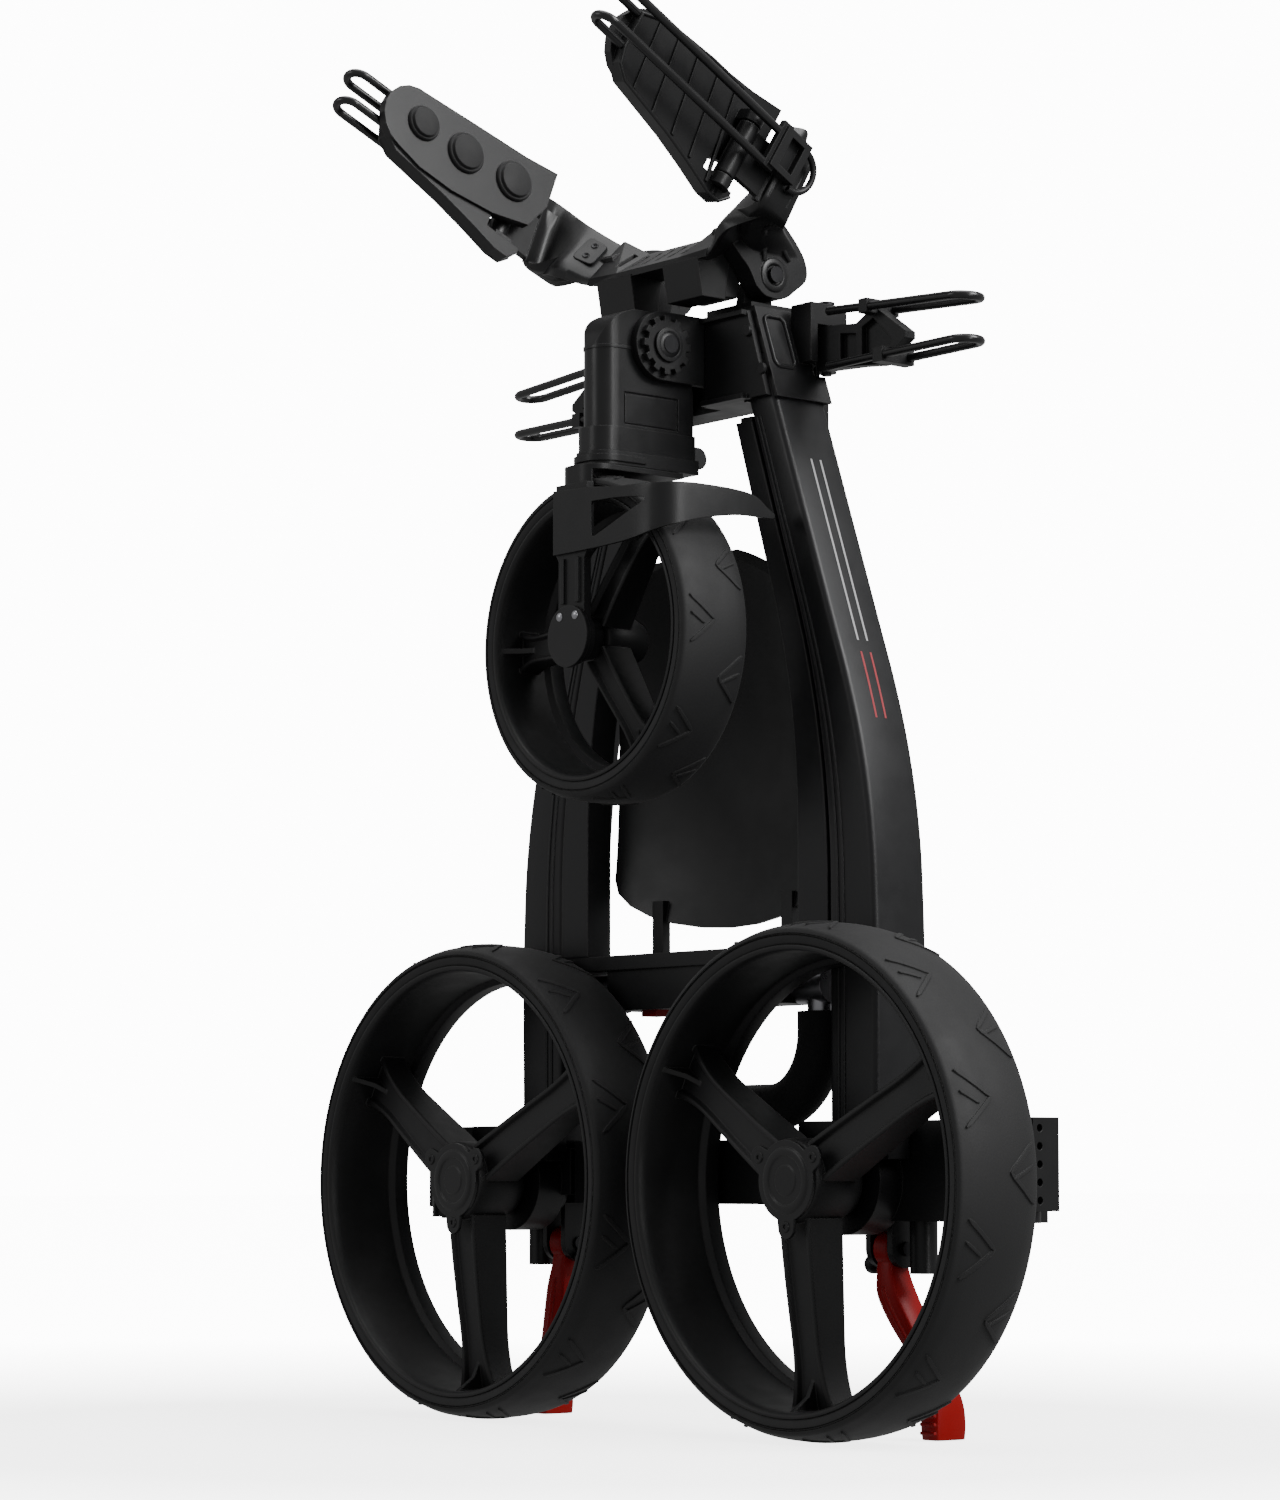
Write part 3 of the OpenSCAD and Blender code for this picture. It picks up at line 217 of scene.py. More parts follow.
class Shape:
    """Collects several closed shells into one mesh. All lengths are millimetres."""

    def __init__(self):
        self.verts = []
        self.faces = []

    def add(self, verts, faces):
        base = len(self.verts)
        self.verts += [Vector(v) for v in verts]
        self.faces += [[base + i for i in face] for face in faces]

    def loft(self, rings, closed=False, caps=True):
        """Skins rings of points, one after another."""
        count = len(rings[0])
        verts = [p for ring in rings for p in ring]
        faces = []
        steps = len(rings) if closed else len(rings) - 1
        for i in range(steps):
            a, b = i * count, (i + 1) % len(rings) * count
            for j in range(count):
                k = (j + 1) % count
                faces.append([a + j, a + k, b + k, b + j])
        if caps and not closed:
            faces.append(list(range(count))[::-1])
            faces.append([(len(rings) - 1) * count + j for j in range(count)])
        self.add(verts, faces)

    def lathe(self, centre, profile, axis="Y", steps=96):
        """Turns a closed profile of (radius, along) about an axis through centre."""
        rings = []
        for i in range(steps):
            a = 2 * math.pi * i / steps
            rings.append([place(centre, axis, r * math.sin(a), h, r * math.cos(a))
                          for r, h in profile])
        self.loft(rings, closed=True)

    def prism(self, outline, low, high, axis="Y", centre=(0, 0, 0)):
        """An outline of (across, up) given thickness along an axis."""
        rings = [[place(centre, axis, p, h, q) for p, q in outline] for h in (low, high)]
        self.loft(rings)

    def tube(self, points, radius, sides=12):
        """A round tube along a path of points."""
        points = [Vector(p) for p in points]
        rings = []
        side = None
        for i, point in enumerate(points):
            ahead = points[min(i + 1, len(points) - 1)] - points[max(i - 1, 0)]
            ahead.normalize()
            if side is None:
                side = ahead.orthogonal().normalized()
            side = (side - ahead * side.dot(ahead)).normalized()
            other = ahead.cross(side)
            rings.append([point + (side * math.cos(t) + other * math.sin(t)) * radius
                          for t in (2 * math.pi * k / sides for k in range(sides))])
        self.loft(rings)

    def move(self, first, matrix):
        """Moves every point added since the shape had first points."""
        for i in range(first, len(self.verts)):
            self.verts[i] = matrix @ self.verts[i]

    def piece(self, name, finish, body, bevel=0.0, smooth_angle=32):
        return new_piece(name, [v * MM for v in self.verts], self.faces, finish, body,
                         bevel, smooth_angle)


def place(centre, axis, across, along, up):
    """(across, along, up) round an axis, from centre: Y keeps X and Z, X keeps Y and Z."""
    x, y, z = centre
    if axis == "Y":
        return Vector((x + across, y + along, z + up))
    if axis == "X":
        return Vector((x + along, y + across, z + up))
    return Vector((x + across, y + up, z + along))


def box_mm(name):
    low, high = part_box(name)
    return low / MM, high / MM


def middle(name):
    low, high = box_mm(name)
    return (low + high) / 2


def dome(shape, centre, radius, height, axis="Y", sign=-1, steps=24):
    """A domed screw or rivet head with a small flat rim."""
    profile = [(0.01, 0)]
    for i in range(7):
        t = math.pi / 2 * i / 6
        profile.append((radius * math.sin(t) + 0.01, sign * height * math.cos(t)))
    profile.append((radius, -sign * 0.8))
    profile.append((0.01, -sign * 0.8))
    shape.lathe(centre, profile, axis, steps)


# ------------------------------------------------------------------ wheels

def tyre_profile(outer, inner, width, crown):
    """Closed tyre section: bead, ringed side walls, round shoulders, crowned tread."""
    edge = outer - crown
    side = [(inner, 1.4), (inner + 1.2, 0.4), (inner + 5.0, 0.2), (inner + 5.4, 0.9),
            (inner + 6.2, 0.9), (inner + 6.6, 0.2), (edge - 4.0, 0.0), (edge - 1.6, 0.5),
            (edge - 0.4, 1.5), (edge + 0.1, 3.0)]
    tread = []
    for i in range(1, 12):
        y = 3 + (width - 6) * i / 12
        tread.append((tread_radius(outer, width, crown, y), y))
    return side + tread + [(r, width - y) for r, y in reversed(side)]


def tread_radius(outer, width, crown, y):
    return outer - crown * abs(2 * y / width - 1) ** 2.4


def tread_bar(shape, centre, size, start, end, half, rise):
    """A raised bar on the tread from (angle, y) to (angle, y), wrapped on the crown."""
    outer, width, crown = size
    span = Vector(((end[0] - start[0]) * outer, end[1] - start[1]))
    lean = Vector((-span.y, span.x)).normalized() * half
    rings = []
    steps = 8
    for i in range(steps + 1):
        t = i / steps
        taper = 0.35 if i in (0, steps) else 1.0
        ring = []
        for side, lift in ((-1, -1.2), (-1, rise), (1, rise), (1, -1.2)):
            a = start[0] + (end[0] - start[0]) * t + side * lean.x * taper / outer
            y = start[1] + (end[1] - start[1]) * t + side * lean.y * taper
            r = tread_radius(outer, width, crown, min(max(y, 1), width - 1)) + lift
            ring.append(place(centre, "Y", r * math.sin(a), y, r * math.cos(a)))
        rings.append(ring)
    shape.loft(rings)


def build_tyre(node_name, body, tyre_h, crown, marks):
    """A tyre with sparse slanted tread bars in pairs."""
    low, high = box_mm(node_name)
    outer = (high.x - low.x) / 2
    width = high.y - low.y
    centre = ((low.x + high.x) / 2, low.y, (low.z + high.z) / 2)
    shape = Shape()
    shape.lathe(centre, tyre_profile(outer - 0.9, outer - tyre_h, width, crown), steps=144)
    size = (outer - 0.9, width, crown)
    step = 2 * math.pi / marks
    k = width / 60
    for i in range(marks):
        a = i * step
        for side in (0, 1):
            near, far, tip = (6 * k, 26 * k, 20 * k) if side == 0 else (54 * k, 34 * k, 40 * k)
            shift = a + side * step / 2
            reach = 17 * k / outer
            tread_bar(shape, centre, size, (shift, near), (shift + reach, far), 1.25 * k, 0.85)
            tread_bar(shape, centre, size, (shift + 2 * reach, near), (shift + reach, far),
                      1.25 * k, 0.85)
            tread_bar(shape, centre, size, (shift + 0.75 * reach, near),
                      (shift + 1.2 * reach, tip - 3 * k), 0.9 * k, 0.85)
    made = shape.piece(node_name + "_rubber", "tyre", body, smooth_angle=40)
    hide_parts(node_name)


def spoke(shape, centre, angle, sizes):
    """A channel-shaped spoke that flares into the barrel, with a fin to the front lip."""
    inner, outer, half, flare, y_hub, y_barrel, back_hub, back_barrel = sizes
    along = Vector((math.sin(angle), 0, math.cos(angle)))
    across = Vector((math.cos(angle), 0, -math.sin(angle)))
    base = Vector(centre)
    rings = []
    steps = 14
    for i in range(steps + 1):
        t = i / steps
        r = inner + (outer - inner) * t
        w = half * (1.12 - 0.24 * t) + flare * max(0, (t - 0.62) / 0.38) ** 2.2
        front = y_hub + (y_barrel - y_hub) * t ** 1.3
        back = back_hub + (back_barrel - back_hub) * t
        rim = 0.24 * w
        section = [(-w, front + 1), (-w + 0.8, front), (-w + rim, front), (-w + rim + 1.5, front + 3),
                   (w - rim - 1.5, front + 3), (w - rim, front), (w - 0.8, front), (w, front + 1),
                   (w, back), (-w, back)]
        rings.append([base + along * r + across * p + Vector((0, q, 0)) for p, q in section])
    shape.loft(rings)
    fin = []
    for r, y in ((outer - 26, y_barrel + 4), (outer - 9, y_barrel - 4), (outer - 1, 5),
                 (outer + 1.5, 5), (outer + 1.5, y_barrel + 8)):
        fin.append((r, y))
    shape.loft([[base + along * r + across * s + Vector((0, y, 0)) for r, y in fin]
                for s in (-1.6, 1.6)])


def build_rim(node_name, body, hub_radius, bore, angles, spoke_half, hub_span):
    """Rim barrel with rolled lips, three channel spokes and hub barrel."""
    low, high = box_mm(node_name)
    outer = (high.x - low.x) / 2
    width = high.y - low.y
    centre = (middle(node_name).x, low.y, middle(node_name).z)
    shape = Shape()
    wall = 4.0
    shape.lathe(centre, [
        (outer, 0.3), (outer, width), (outer - wall - 5, width), (outer - wall - 5.6, width - 1.6),
        (outer - wall - 5, width - 10), (outer - wall - 1.6, width - 13), (outer - wall - 0.6, width - 26),
        (outer - wall, 7), (outer - wall + 0.7, 1.8), (outer - wall + 1.8, 0.4), (outer - 1.2, 0.0)],
        steps=144)
    hub_front, hub_back = hub_span
    shape.lathe(centre, [
        (bore, hub_front), (hub_radius - 3, hub_front), (hub_radius - 1, hub_front + 1),
        (hub_radius, hub_front + 3), (hub_radius, hub_back - 8), (hub_radius - 3, hub_back - 1),
        (hub_radius - 5, hub_back), (bore, hub_back)], steps=64)
    k = width / 58
    for a in angles:
        angle = math.radians(a)
        spoke(shape, centre, angle, (hub_radius - 3, outer - wall + 1, spoke_half, spoke_half * 0.75,
                                     7 * k, 21 * k, 33 * k, 38 * k))
    made = shape.piece(node_name + "_cast", "rim", body, bevel=0.5)
    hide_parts(node_name)


# spokes, lobes and screws of a rear wheel, in degrees from up
LOBES = (60, 180, 300)
LOBE_AT = 26


def trefoil(radius, lobe_at, lobe_r, steps=120):
    """Round plate outline with three lobes, at 60, 180 and 300 degrees from up."""
    points = []
    for i in range(steps):
        a = 2 * math.pi * i / steps
        r = radius
        for lobe in LOBES:
            off = (a - math.radians(lobe) + math.pi) % (2 * math.pi) - math.pi
            side = lobe_at * math.sin(off)
            if abs(off) < 1 and abs(side) < lobe_r:
                r = max(r, lobe_at * math.cos(off) + math.sqrt(lobe_r ** 2 - side ** 2))
        points.append((r * math.sin(a), r * math.cos(a)))
    return points


def build_hub_cap(side_name):
    """Three-lobed hub cap with a raised ring, a dished middle and three screws."""
    name = "hub_cap_" + side_name
    axle = middle("rear_tyre_" + side_name)
    centre = (axle.x, box_mm(name)[0].y, axle.z)
    shape = Shape()
    shape.prism(trefoil(23, LOBE_AT, 6.8), 1.0, 3.2, centre=centre)
    shape.lathe(centre, [(13.5, 1.2), (14.2, 0.3), (17.4, 0.0), (18.6, 0.4), (19.2, 1.2)], steps=72)
    shape.lathe(centre, [(0.01, 1.2), (0.01, 0.5), (8.5, 0.5), (9.3, 1.2)], steps=48)
    made = shape.piece(name + "_plate", "satin", "rear_wheel_" + side_name, bevel=0.4)
    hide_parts(name)
    screws = Shape()
    for a in LOBES:
        t = math.radians(a)
        spot = place(centre, "Y", LOBE_AT * math.sin(t), 1.0, LOBE_AT * math.cos(t))
        screws.lathe(spot, [(1.2, 0.1), (1.5, -0.7), (3.0, -0.7), (3.5, 0.2), (3.5, 0.8), (1.2, 0.8)],
                     steps=24)
    screws.piece(name + "_screws", "black", "rear_wheel_" + side_name)


for side_name in SIDES:
    body = "rear_wheel_" + side_name
    build_tyre("rear_tyre_" + side_name, body, tyre_h=14.5, crown=4.0, marks=11)
    build_rim("rear_rim_" + side_name, body, hub_radius=24, bore=12.1, angles=LOBES,
              spoke_half=11.5, hub_span=(3, 42))
    build_hub_cap(side_name)
build_tyre("front_tyre", "front_wheel", tyre_h=13, crown=2.4, marks=9)
build_rim("front_rim", "front_wheel", hub_radius=15, bore=10.1, angles=(30, 150, 270),
          spoke_half=8.5, hub_span=(10, 44))


# ------------------------------------------------------------------ frame details

def outline_of(name):
    """[(z, smallest |x|, largest |x|)] of a node's front face, from its own corners."""
    rows = {}
    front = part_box(name)[0].y
    for vertex in NODES[name].data.vertices:
        if vertex.co.y > front + 0.1 * MM:
            continue
        z = round(vertex.co.z / MM, 1)
        x = abs(vertex.co.x / MM)
        low, high = rows.get(z, (x, x))
        rows[z] = (min(low, x), max(high, x))
    # a height where only one edge has a corner says nothing of the other
    return [(z, *rows[z]) for z in sorted(rows) if rows[z][1] - rows[z][0] > 15]


def edge_at(rows, z, which):
    """X of a rail edge at height z, on a smooth curve through the rows."""
    last = len(rows) - 1

    def rise(i):
        return (rows[i + 1][which] - rows[i][which]) / (rows[i + 1][0] - rows[i][0])

    def slope(i):
        if i == 0 or i == last:
            return rise(min(i, last - 1))
        below, above = rows[i][0] - rows[i - 1][0], rows[i + 1][0] - rows[i][0]
        return (rise(i) * below + rise(i - 1) * above) / (below + above)

    for i in range(last):
        if rows[i][0] <= z <= rows[i + 1][0]:
            h = rows[i + 1][0] - rows[i][0]
            t = (z - rows[i][0]) / h
            return ((2 * t ** 3 - 3 * t * t + 1) * rows[i][which]
                    + (t ** 3 - 2 * t * t + t) * h * slope(i)
                    + (3 * t * t - 2 * t ** 3) * rows[i + 1][which]
                    + (t ** 3 - t * t) * h * slope(i + 1))
    return rows[-1][which]


def build_rail(side_name, sign):
    """A smoothly bent box section with round corners."""
    name = "rail_" + side_name
    rows = outline_of(name)
    low, high = box_mm(name)
    corner = 3.6
    shape = Shape()
    rings = []
    for i in range(91):
        z = low.z + (high.z - low.z) * i / 90
        inner, outer = edge_at(rows, z, 1), edge_at(rows, z, 2)
        ring = []
        for cx, cy, start in ((outer - corner, high.y - corner, 0), (inner + corner, high.y - corner, 90),
                              (inner + corner, low.y + corner, 180), (outer - corner, low.y + corner, 270)):
            for k in range(6):
                a = math.radians(start + 90 * k / 5)
                ring.append((sign * (cx + corner * math.cos(a)), cy + corner * math.sin(a), z))
        rings.append(ring)
    shape.loft(rings)
    made = shape.piece(name + "_tube", "rail", "frame", smooth_angle=40)
    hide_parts(name)


def strip_on_rail(shape, sign, rows, zs, inner, outer, y_low, y_high):
    """A strip that follows the rail between two x functions."""
    rings = []
    for z in zs:
        a, b = inner(z), outer(z)
        rings.append([(sign * a, y_low, z), (sign * b, y_low, z), (sign * b, y_high, z),
                      (sign * a, y_high, z)])
    shape.loft(rings)


# where the beads and the two pinstripes lie: shares of the rail's width, height and depth
BEAD_SHARES = (0.22, 0.34)
STRIPES = (("pale", "mark", 0.62, 0.86), ("red", "red_mark", 0.52, 0.605))
STRIPE_DEPTHS = (0.42, 0.60)


def build_rail_details(side_name, sign):
    """Raised beads on the rail's front face and a plain two-colour pinstripe on its side."""
    rows = outline_of("rail_" + side_name)
    low, high = box_mm("rail_" + side_name)
    front = low.y
    beads = Shape()
    zs = [low.z + 2 + (high.z - low.z - 40) * i / 40 for i in range(41)]
    for inset in BEAD_SHARES:
        def at(z, share=inset):
            inner, outer = edge_at(rows, z, 1), edge_at(rows, z, 2)
            return inner + (outer - inner) * share
        strip_on_rail(beads, sign, rows, zs, lambda z: at(z) - 0.9, lambda z: at(z) + 0.9,
                      front - 0.7, front + 0.5)
    beads.piece(f"rail_beads_{side_name}", "rail", "frame", bevel=0.4)
    depth = high.y - low.y
    for label, finish, z_a, z_b in STRIPES:
        stripe = Shape()
        span = [low.z + (high.z - low.z) * (z_a + (z_b - z_a) * i / 16) for i in range(17)]
        for offset in STRIPE_DEPTHS:
            y = low.y + depth * offset
            strip_on_rail(stripe, sign, rows, span, lambda z: edge_at(rows, z, 2) - 0.3,
                          lambda z: edge_at(rows, z, 2) + 0.12, y - 0.7, y + 0.7)
        stripe.piece(f"rail_stripe_{label}_{side_name}", finish, "frame")


for side_name, sign in SIDES.items():
    build_rail(side_name, sign)
    build_rail_details(side_name, sign)


def build_arm_details():
    """Seam band round the arm and a blank label plate."""
    low, high = box_mm("front_arm")
    half = (high.x - low.x) / 2 - 2
    nose = low.y + 3
    z = high.z - 24
    band = Shape()
    outline = []
    radius = 12
    for i in range(13):
        a = math.pi / 2 * i / 12
        outline.append((-half + radius - radius * math.cos(a), nose + radius - radius * math.sin(a)))
    for i in range(13):
        a = math.pi / 2 * i / 12
        outline.append((half - radius + radius * math.sin(a), nose + radius - radius * math.cos(a)))
    path = [(-half, high.y - 18)] + outline + [(half, high.y - 18)]
    inner = [(x * 0.96, y + 0.5) for x, y in path]
    outer = [(x * 1.035, y - 0.45) for x, y in path]
    ring = outer + inner[::-1]
    band.loft([[(x, y, z + dz) for x, y in ring] for dz in (-1.0, 1.0)])
    band.piece("arm_seam", "satin", "front_arm")
    for side_name, sign in SIDES.items():
        plate = Shape()
        x = sign * (half - 1.2)
        y0, z0 = nose + 17, low.z + 18
        plate.prism([(y0, z0), (y0 + 40, z0), (y0 + 40, z0 + 18), (y0, z0 + 18)],
                    min(x, x + sign * 0.7), max(x, x + sign * 0.7), axis="X")
        plate.piece(f"arm_label_{side_name}", "satin", "front_arm", bevel=0.3)


build_arm_details()


def smooth_path(points, steps=10):
    """Catmull-Rom curve through 2-D points, with the distance along it."""
    points = [Vector(p) for p in points]
    made = []
    for i in range(len(points) - 1):
        a, b = points[max(i - 1, 0)], points[i]
        c, d = points[i + 1], points[min(i + 2, len(points) - 1)]
        for k in range(steps):
            t = k / steps
            made.append(0.5 * ((2 * b) + (c - a) * t + (2 * a - 5 * b + 4 * c - d) * t * t
                               + (3 * b - a - 3 * c + d) * t ** 3))
    made.append(points[-1])
    far = [0.0]
    for a, b in zip(made, made[1:]):
        far.append(far[-1] + (b - a).length)
    return made, far


def on_path(path, far, s):
    """(point, outward normal) at distance s along a plan path."""
    for i in range(len(far) - 1):
        if far[i] <= s <= far[i + 1] or i == len(far) - 2:
            t = (s - far[i]) / (far[i + 1] - far[i])
            along = (path[i + 1] - path[i]).normalized()
            return path[i].lerp(path[i + 1], t), Vector((along.y, -along.x))


def inside(point, polygon):
    hit = False
    for (x0, y0), (x1, y1) in zip(polygon, polygon[1:] + polygon[:1]):
        if (y0 > point[1]) != (y1 > point[1]):
            if point[0] < (x1 - x0) * (point[1] - y0) / (y1 - y0) + x0:
                hit = not hit
    return hit


def curve_points(points, steps=6):
    path, _ = smooth_path(points, steps)
    return [(p.x, p.y) for p in path]


def build_guard():
    """Smooth wrap-round guard with a rounded triangular window."""
    low, high = box_mm("wheel_guard")
    tyre = (box_mm("front_tyre")[1].x - box_mm("front_tyre")[0].x) / 2
    y0, z0 = low.y, low.z
    thick = 2.5
    path, far = smooth_path([
        (-14.5, y0), (20, y0), (0.62 * tyre, y0 + 0.4), (0.79 * tyre, y0 + 4.5),
        (0.87 * tyre, y0 + 14), (0.91 * tyre, y0 + 32), (0.93 * tyre, y0 + 58),
        (high.x - 0.3, high.y)])
    length = far[-1]
    lower = curve_points([(0, 0), (45, 0.6), (75, 2.5), (100, 8), (125, 14), (150, 17.5),
                          (length - 4, 17.5), (length, 18.5)])
    upper = curve_points([(length, 20.5), (length - 5, 23), (length - 20, 31), (120, 33.6),
                          (90, 33.4), (60, 34.5), (34, 37.2), (0, 38.7)])
    window = curve_points([(37, 28.5), (58, 28), (80, 26), (84, 24.3), (80, 22.0), (60, 14.5),
                           (41, 8.0), (37.4, 7.4), (36.4, 9), (36, 18), (36.2, 27), (37, 28.5)])[:-1]
    outline = lower[:-1] + upper
    points, edges = [], []
    for loop in (outline, window):
        base = len(points)
        points += [Vector(p) for p in loop]
        edges += [(base + i, base + (i + 1) % len(loop)) for i in range(len(loop))]
    for i in range(1, int(length / 3)):
        for j in range(1, 13):
            spot = (i * 3.0, j * 3.0)
            if inside(spot, outline) and not inside(spot, window):
                if min((Vector(spot) - p).length for p in points) > 1.4:
                    points.append(Vector(spot))
    flat, _, faces, *_ = delaunay_2d_cdt(points, edges, [], 0, 1e-4)
    kept = []
    for face in faces:
        centre = sum((flat[i] for i in face), Vector((0, 0))) / 3
        if inside(centre, outline) and not inside(centre, window):
            kept.append(face)
    shape = Shape()
    outer, inner = [], []
    for s, z in flat:
        spot, normal = on_path(path, far, min(max(s, 0), length))
        # a shallow crown across the band
        swell = 0.25 * math.cos((z - 20) / 20 * math.pi / 2) if s > 95 else 0.0
        lean = spot + normal * (swell - 0.3)
        back = spot - normal * thick
        outer.append((lean.x, lean.y, z0 + z))
        inner.append((back.x, back.y, z0 + z))
    count = len(flat)
    borders = {}
    for face in kept:
        for a, b in zip(face, face[1:] + face[:1]):
            borders[(a, b)] = borders.get((a, b), 0) + 1
    rims = [(a, b) for a, b in borders if (b, a) not in borders]
    walls = [[a, b, count + b, count + a] for a, b in rims]
    shape.add(outer + inner, kept + [[count + i for i in face[::-1]] for face in kept] + walls)
    made = shape.piece("wheel_guard_band", "satin", "fork", bevel=0.6)
    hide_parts("wheel_guard")


build_guard()

axle = middle("front_hub_cover")
SCREW_SPREAD, SCREW_RISE, SCREW_R = 7.3, 12, 2.7
screws = Shape()
for x in (-SCREW_SPREAD, SCREW_SPREAD):
    dome(screws, (x, box_mm("front_hub_cover")[0].y, axle.z + SCREW_RISE), SCREW_R, 1.3)
screws.piece("fork_screws", "steel", "fork")


def spline(points, steps=7):
    """Catmull-Rom through rings: each ring is a list of corners that keep their order."""
    rings = []
    for i in range(len(points) - 1):
        a, b = points[max(i - 1, 0)], points[i]
        c, d = points[i + 1], points[min(i + 2, len(points) - 1)]
        last = i == len(points) - 2
        for k in range(steps + (1 if last else 0)):
            t = k / steps
            rings.append([0.5 * ((2 * q) + (r - p) * t + (2 * p - 5 * q + 4 * r - w) * t * t
                                 + (3 * q - p - 3 * r + w) * t ** 3)
                          for p, q, r, w in zip(a, b, c, d)])
    return rings


def rounded(ring, share=0.16):
    """Cuts each corner of a ring into a short curve."""
    made = []
    count = len(ring)
    for i, corner in enumerate(ring):
        before = corner.lerp(ring[i - 1], share)
        after = corner.lerp(ring[(i + 1) % count], share)
        middle_point = (before + after) / 2
        made += [before, middle_point.lerp(corner, 0.45), after]
    return made


# the yoke's drawing origin, and the frame in which a right-hand pad is drawn
BRIDGE_LOW = box_mm("cradle_bridge")[0]
BRIDGE_Y = BRIDGE_LOW.y + 10
BRIDGE_Z = BRIDGE_LOW.z + 22
TILT = middle("cradle_pins")
PAD_X, PAD_BACK, PAD_UP = 98.5, -16, 52.5
PAD_LEAN, PAD_RISE = 9.6, 27
PAD_TURN = (Matrix.Rotation(math.radians(PAD_LEAN), 4, "Y")
            @ Matrix.Rotation(math.radians(-PAD_RISE), 4, "X"))
PAD_FRAME = Matrix.Translation((PAD_X, BRIDGE_Y + PAD_BACK, BRIDGE_Z + PAD_UP)) @ PAD_TURN
# hinge pin of a pad, in the pad's own frame
PAD_PIN = (13.5, -16, 0)


def at_pad(x, y, z):
    return PAD_FRAME @ Vector((x, y, z))


def build_yoke(side_name, sign):
    """Curved band, ribbed column, foot round the tilt pin and the pad's hinge barrel."""
    flip = Matrix.Scale(sign, 4, (1, 0, 0))
    shape = Shape()
    by, bz = BRIDGE_Y, BRIDGE_Z
    band = [
        [Vector((34, by - 9, bz)), Vector((34, by + 16, bz + 4)), Vector((34, by + 18, bz + 22)),
         Vector((34, by - 9, bz + 4))],
        [Vector((57, by - 10, bz)), Vector((57, by + 17, bz + 12)), Vector((56, by + 18, bz + 32)),
         Vector((56, by - 9, bz + 5))],
        [Vector((83, by - 17, bz + 9)), Vector((83, by + 13, bz + 30)), Vector((79, by + 14, bz + 46)),
         Vector((79, by - 18, bz + 16))],
        [at_pad(18, 22, -26), at_pad(18, 22, 28), at_pad(13, 22, 28), at_pad(13, 22, -26)],
        [at_pad(18, 9, -25), at_pad(18, 9, 27), at_pad(13, 9, 27), at_pad(13, 9, -25)]]
    shape.loft([rounded(ring) for ring in spline(band, 8)[8:]])
    ty, tz = TILT.y, TILT.z
    column = [
        [Vector((47.5, ty - 12, tz - 6)), Vector((47.5, ty + 14, tz - 6)),
         Vector((60.5, ty + 14, tz - 6)), Vector((60.5, ty - 12, tz - 6))],
        [Vector((48, ty - 19, tz + 15)), Vector((48, ty + 21, tz + 15)),
         Vector((60.5, ty + 21, tz + 13)), Vector((60.5, ty - 17, tz + 12))],
        [Vector((71, ty - 45, tz + 31)), Vector((73, ty - 9, tz + 33)),
         Vector((83, ty - 10, tz + 21)), Vector((82, ty - 44, tz + 18))],
        [at_pad(14, 12, -24), at_pad(14, 36, -24), at_pad(20.5, 36, -24), at_pad(20.5, 12, -24)],
        [at_pad(14, 12, 19), at_pad(14, 33, 19), at_pad(20.5, 33, 19), at_pad(20.5, 12, 19)]]
    shape.loft([rounded(ring) for ring in spline(column, 7)])
    foot = curve_points([(-14, -8), (-6, -13.5), (8, -13.5), (18, -7), (26.5, 1), (25, 13),
                         (14, 27), (3, 34), (-20, 30), (-38, 24), (-28, 10), (-20, 2), (-14, -8)],
                        5)[:-1]
    shape.prism(foot, 47.2, 60.8, axis="X", centre=(0, ty, tz))
    shape.lathe((0, ty, tz), [(6, 60.5), (10.5, 60.5), (10.5, 61.4), (9.5, 62.0), (7, 62.0),
                              (6, 61.2)], axis="X", steps=40)
    shape.loft([[at_pad(*q) for q in ring] for ring in (
        [(13.5, 9, -23), (18, 9, -23), (18, 9, 8), (13.5, 9, 8)],
        [(12.5, -12, -23), (17.5, -12, -23), (17.5, -12, 8), (12.5, -12, 8)])])
    first = len(shape.verts)
    shape.lathe(PAD_PIN, [(3.1, -26.4), (5.8, -26.4), (6.6, -25.6), (6.6, 8.8), (5.8, 9.6),
                          (3.1, 9.6)], axis="Z", steps=36)
    shape.lathe(PAD_PIN, [(0.01, -33), (2.4, -33), (3, -32.4), (3, 15.4), (2.4, 16),
                          (0.01, 16)], axis="Z", steps=24)
    shape.move(first, PAD_FRAME)
    rib_ends = ((ty - 8, tz + 8, 16, 10), (ty + 12, tz + 10, 30, 14))
    for y, z, u, v in rib_ends:
        path = []
        corners = [Vector((61, y, z)), Vector((66, (y + ty) / 2 - 8, tz + 20)),
                   Vector((82.5, ty - 27, tz + 20)), at_pad(19.3, u, -22), at_pad(19.3, u, v)]
        for ring in spline([[c] for c in corners], 6):
            path.append(ring[0])
        shape.tube(path, 1.5, sides=10)
    shape.move(0, flip)
    made = shape.piece("cradle_yoke_" + side_name, "satin", "cradle", bevel=0.5, smooth_angle=38)
    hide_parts("cradle_arm_" + side_name)


for side_name, sign in SIDES.items():
    build_yoke(side_name, sign)


def build_under_bridge():
    """Solid cheeks that close the yoke between its slotted bridge and its columns."""
    by, bz = BRIDGE_Y, BRIDGE_Z
    profile = [(by + 8, bz - 21), (by + 23, bz - 20), (by + 25, bz - 12), (by + 25, bz + 6),
               (by + 17, bz + 12), (by + 8, bz + 8)]
    for side_name, sign in SIDES.items():
        shape = Shape()
        ends = sorted((sign * 15.8, sign * 46.8))
        shape.prism(profile, ends[0], ends[1], axis="X")
        shape.piece("yoke_cheek_" + side_name, "satin", "cradle", bevel=1.0)


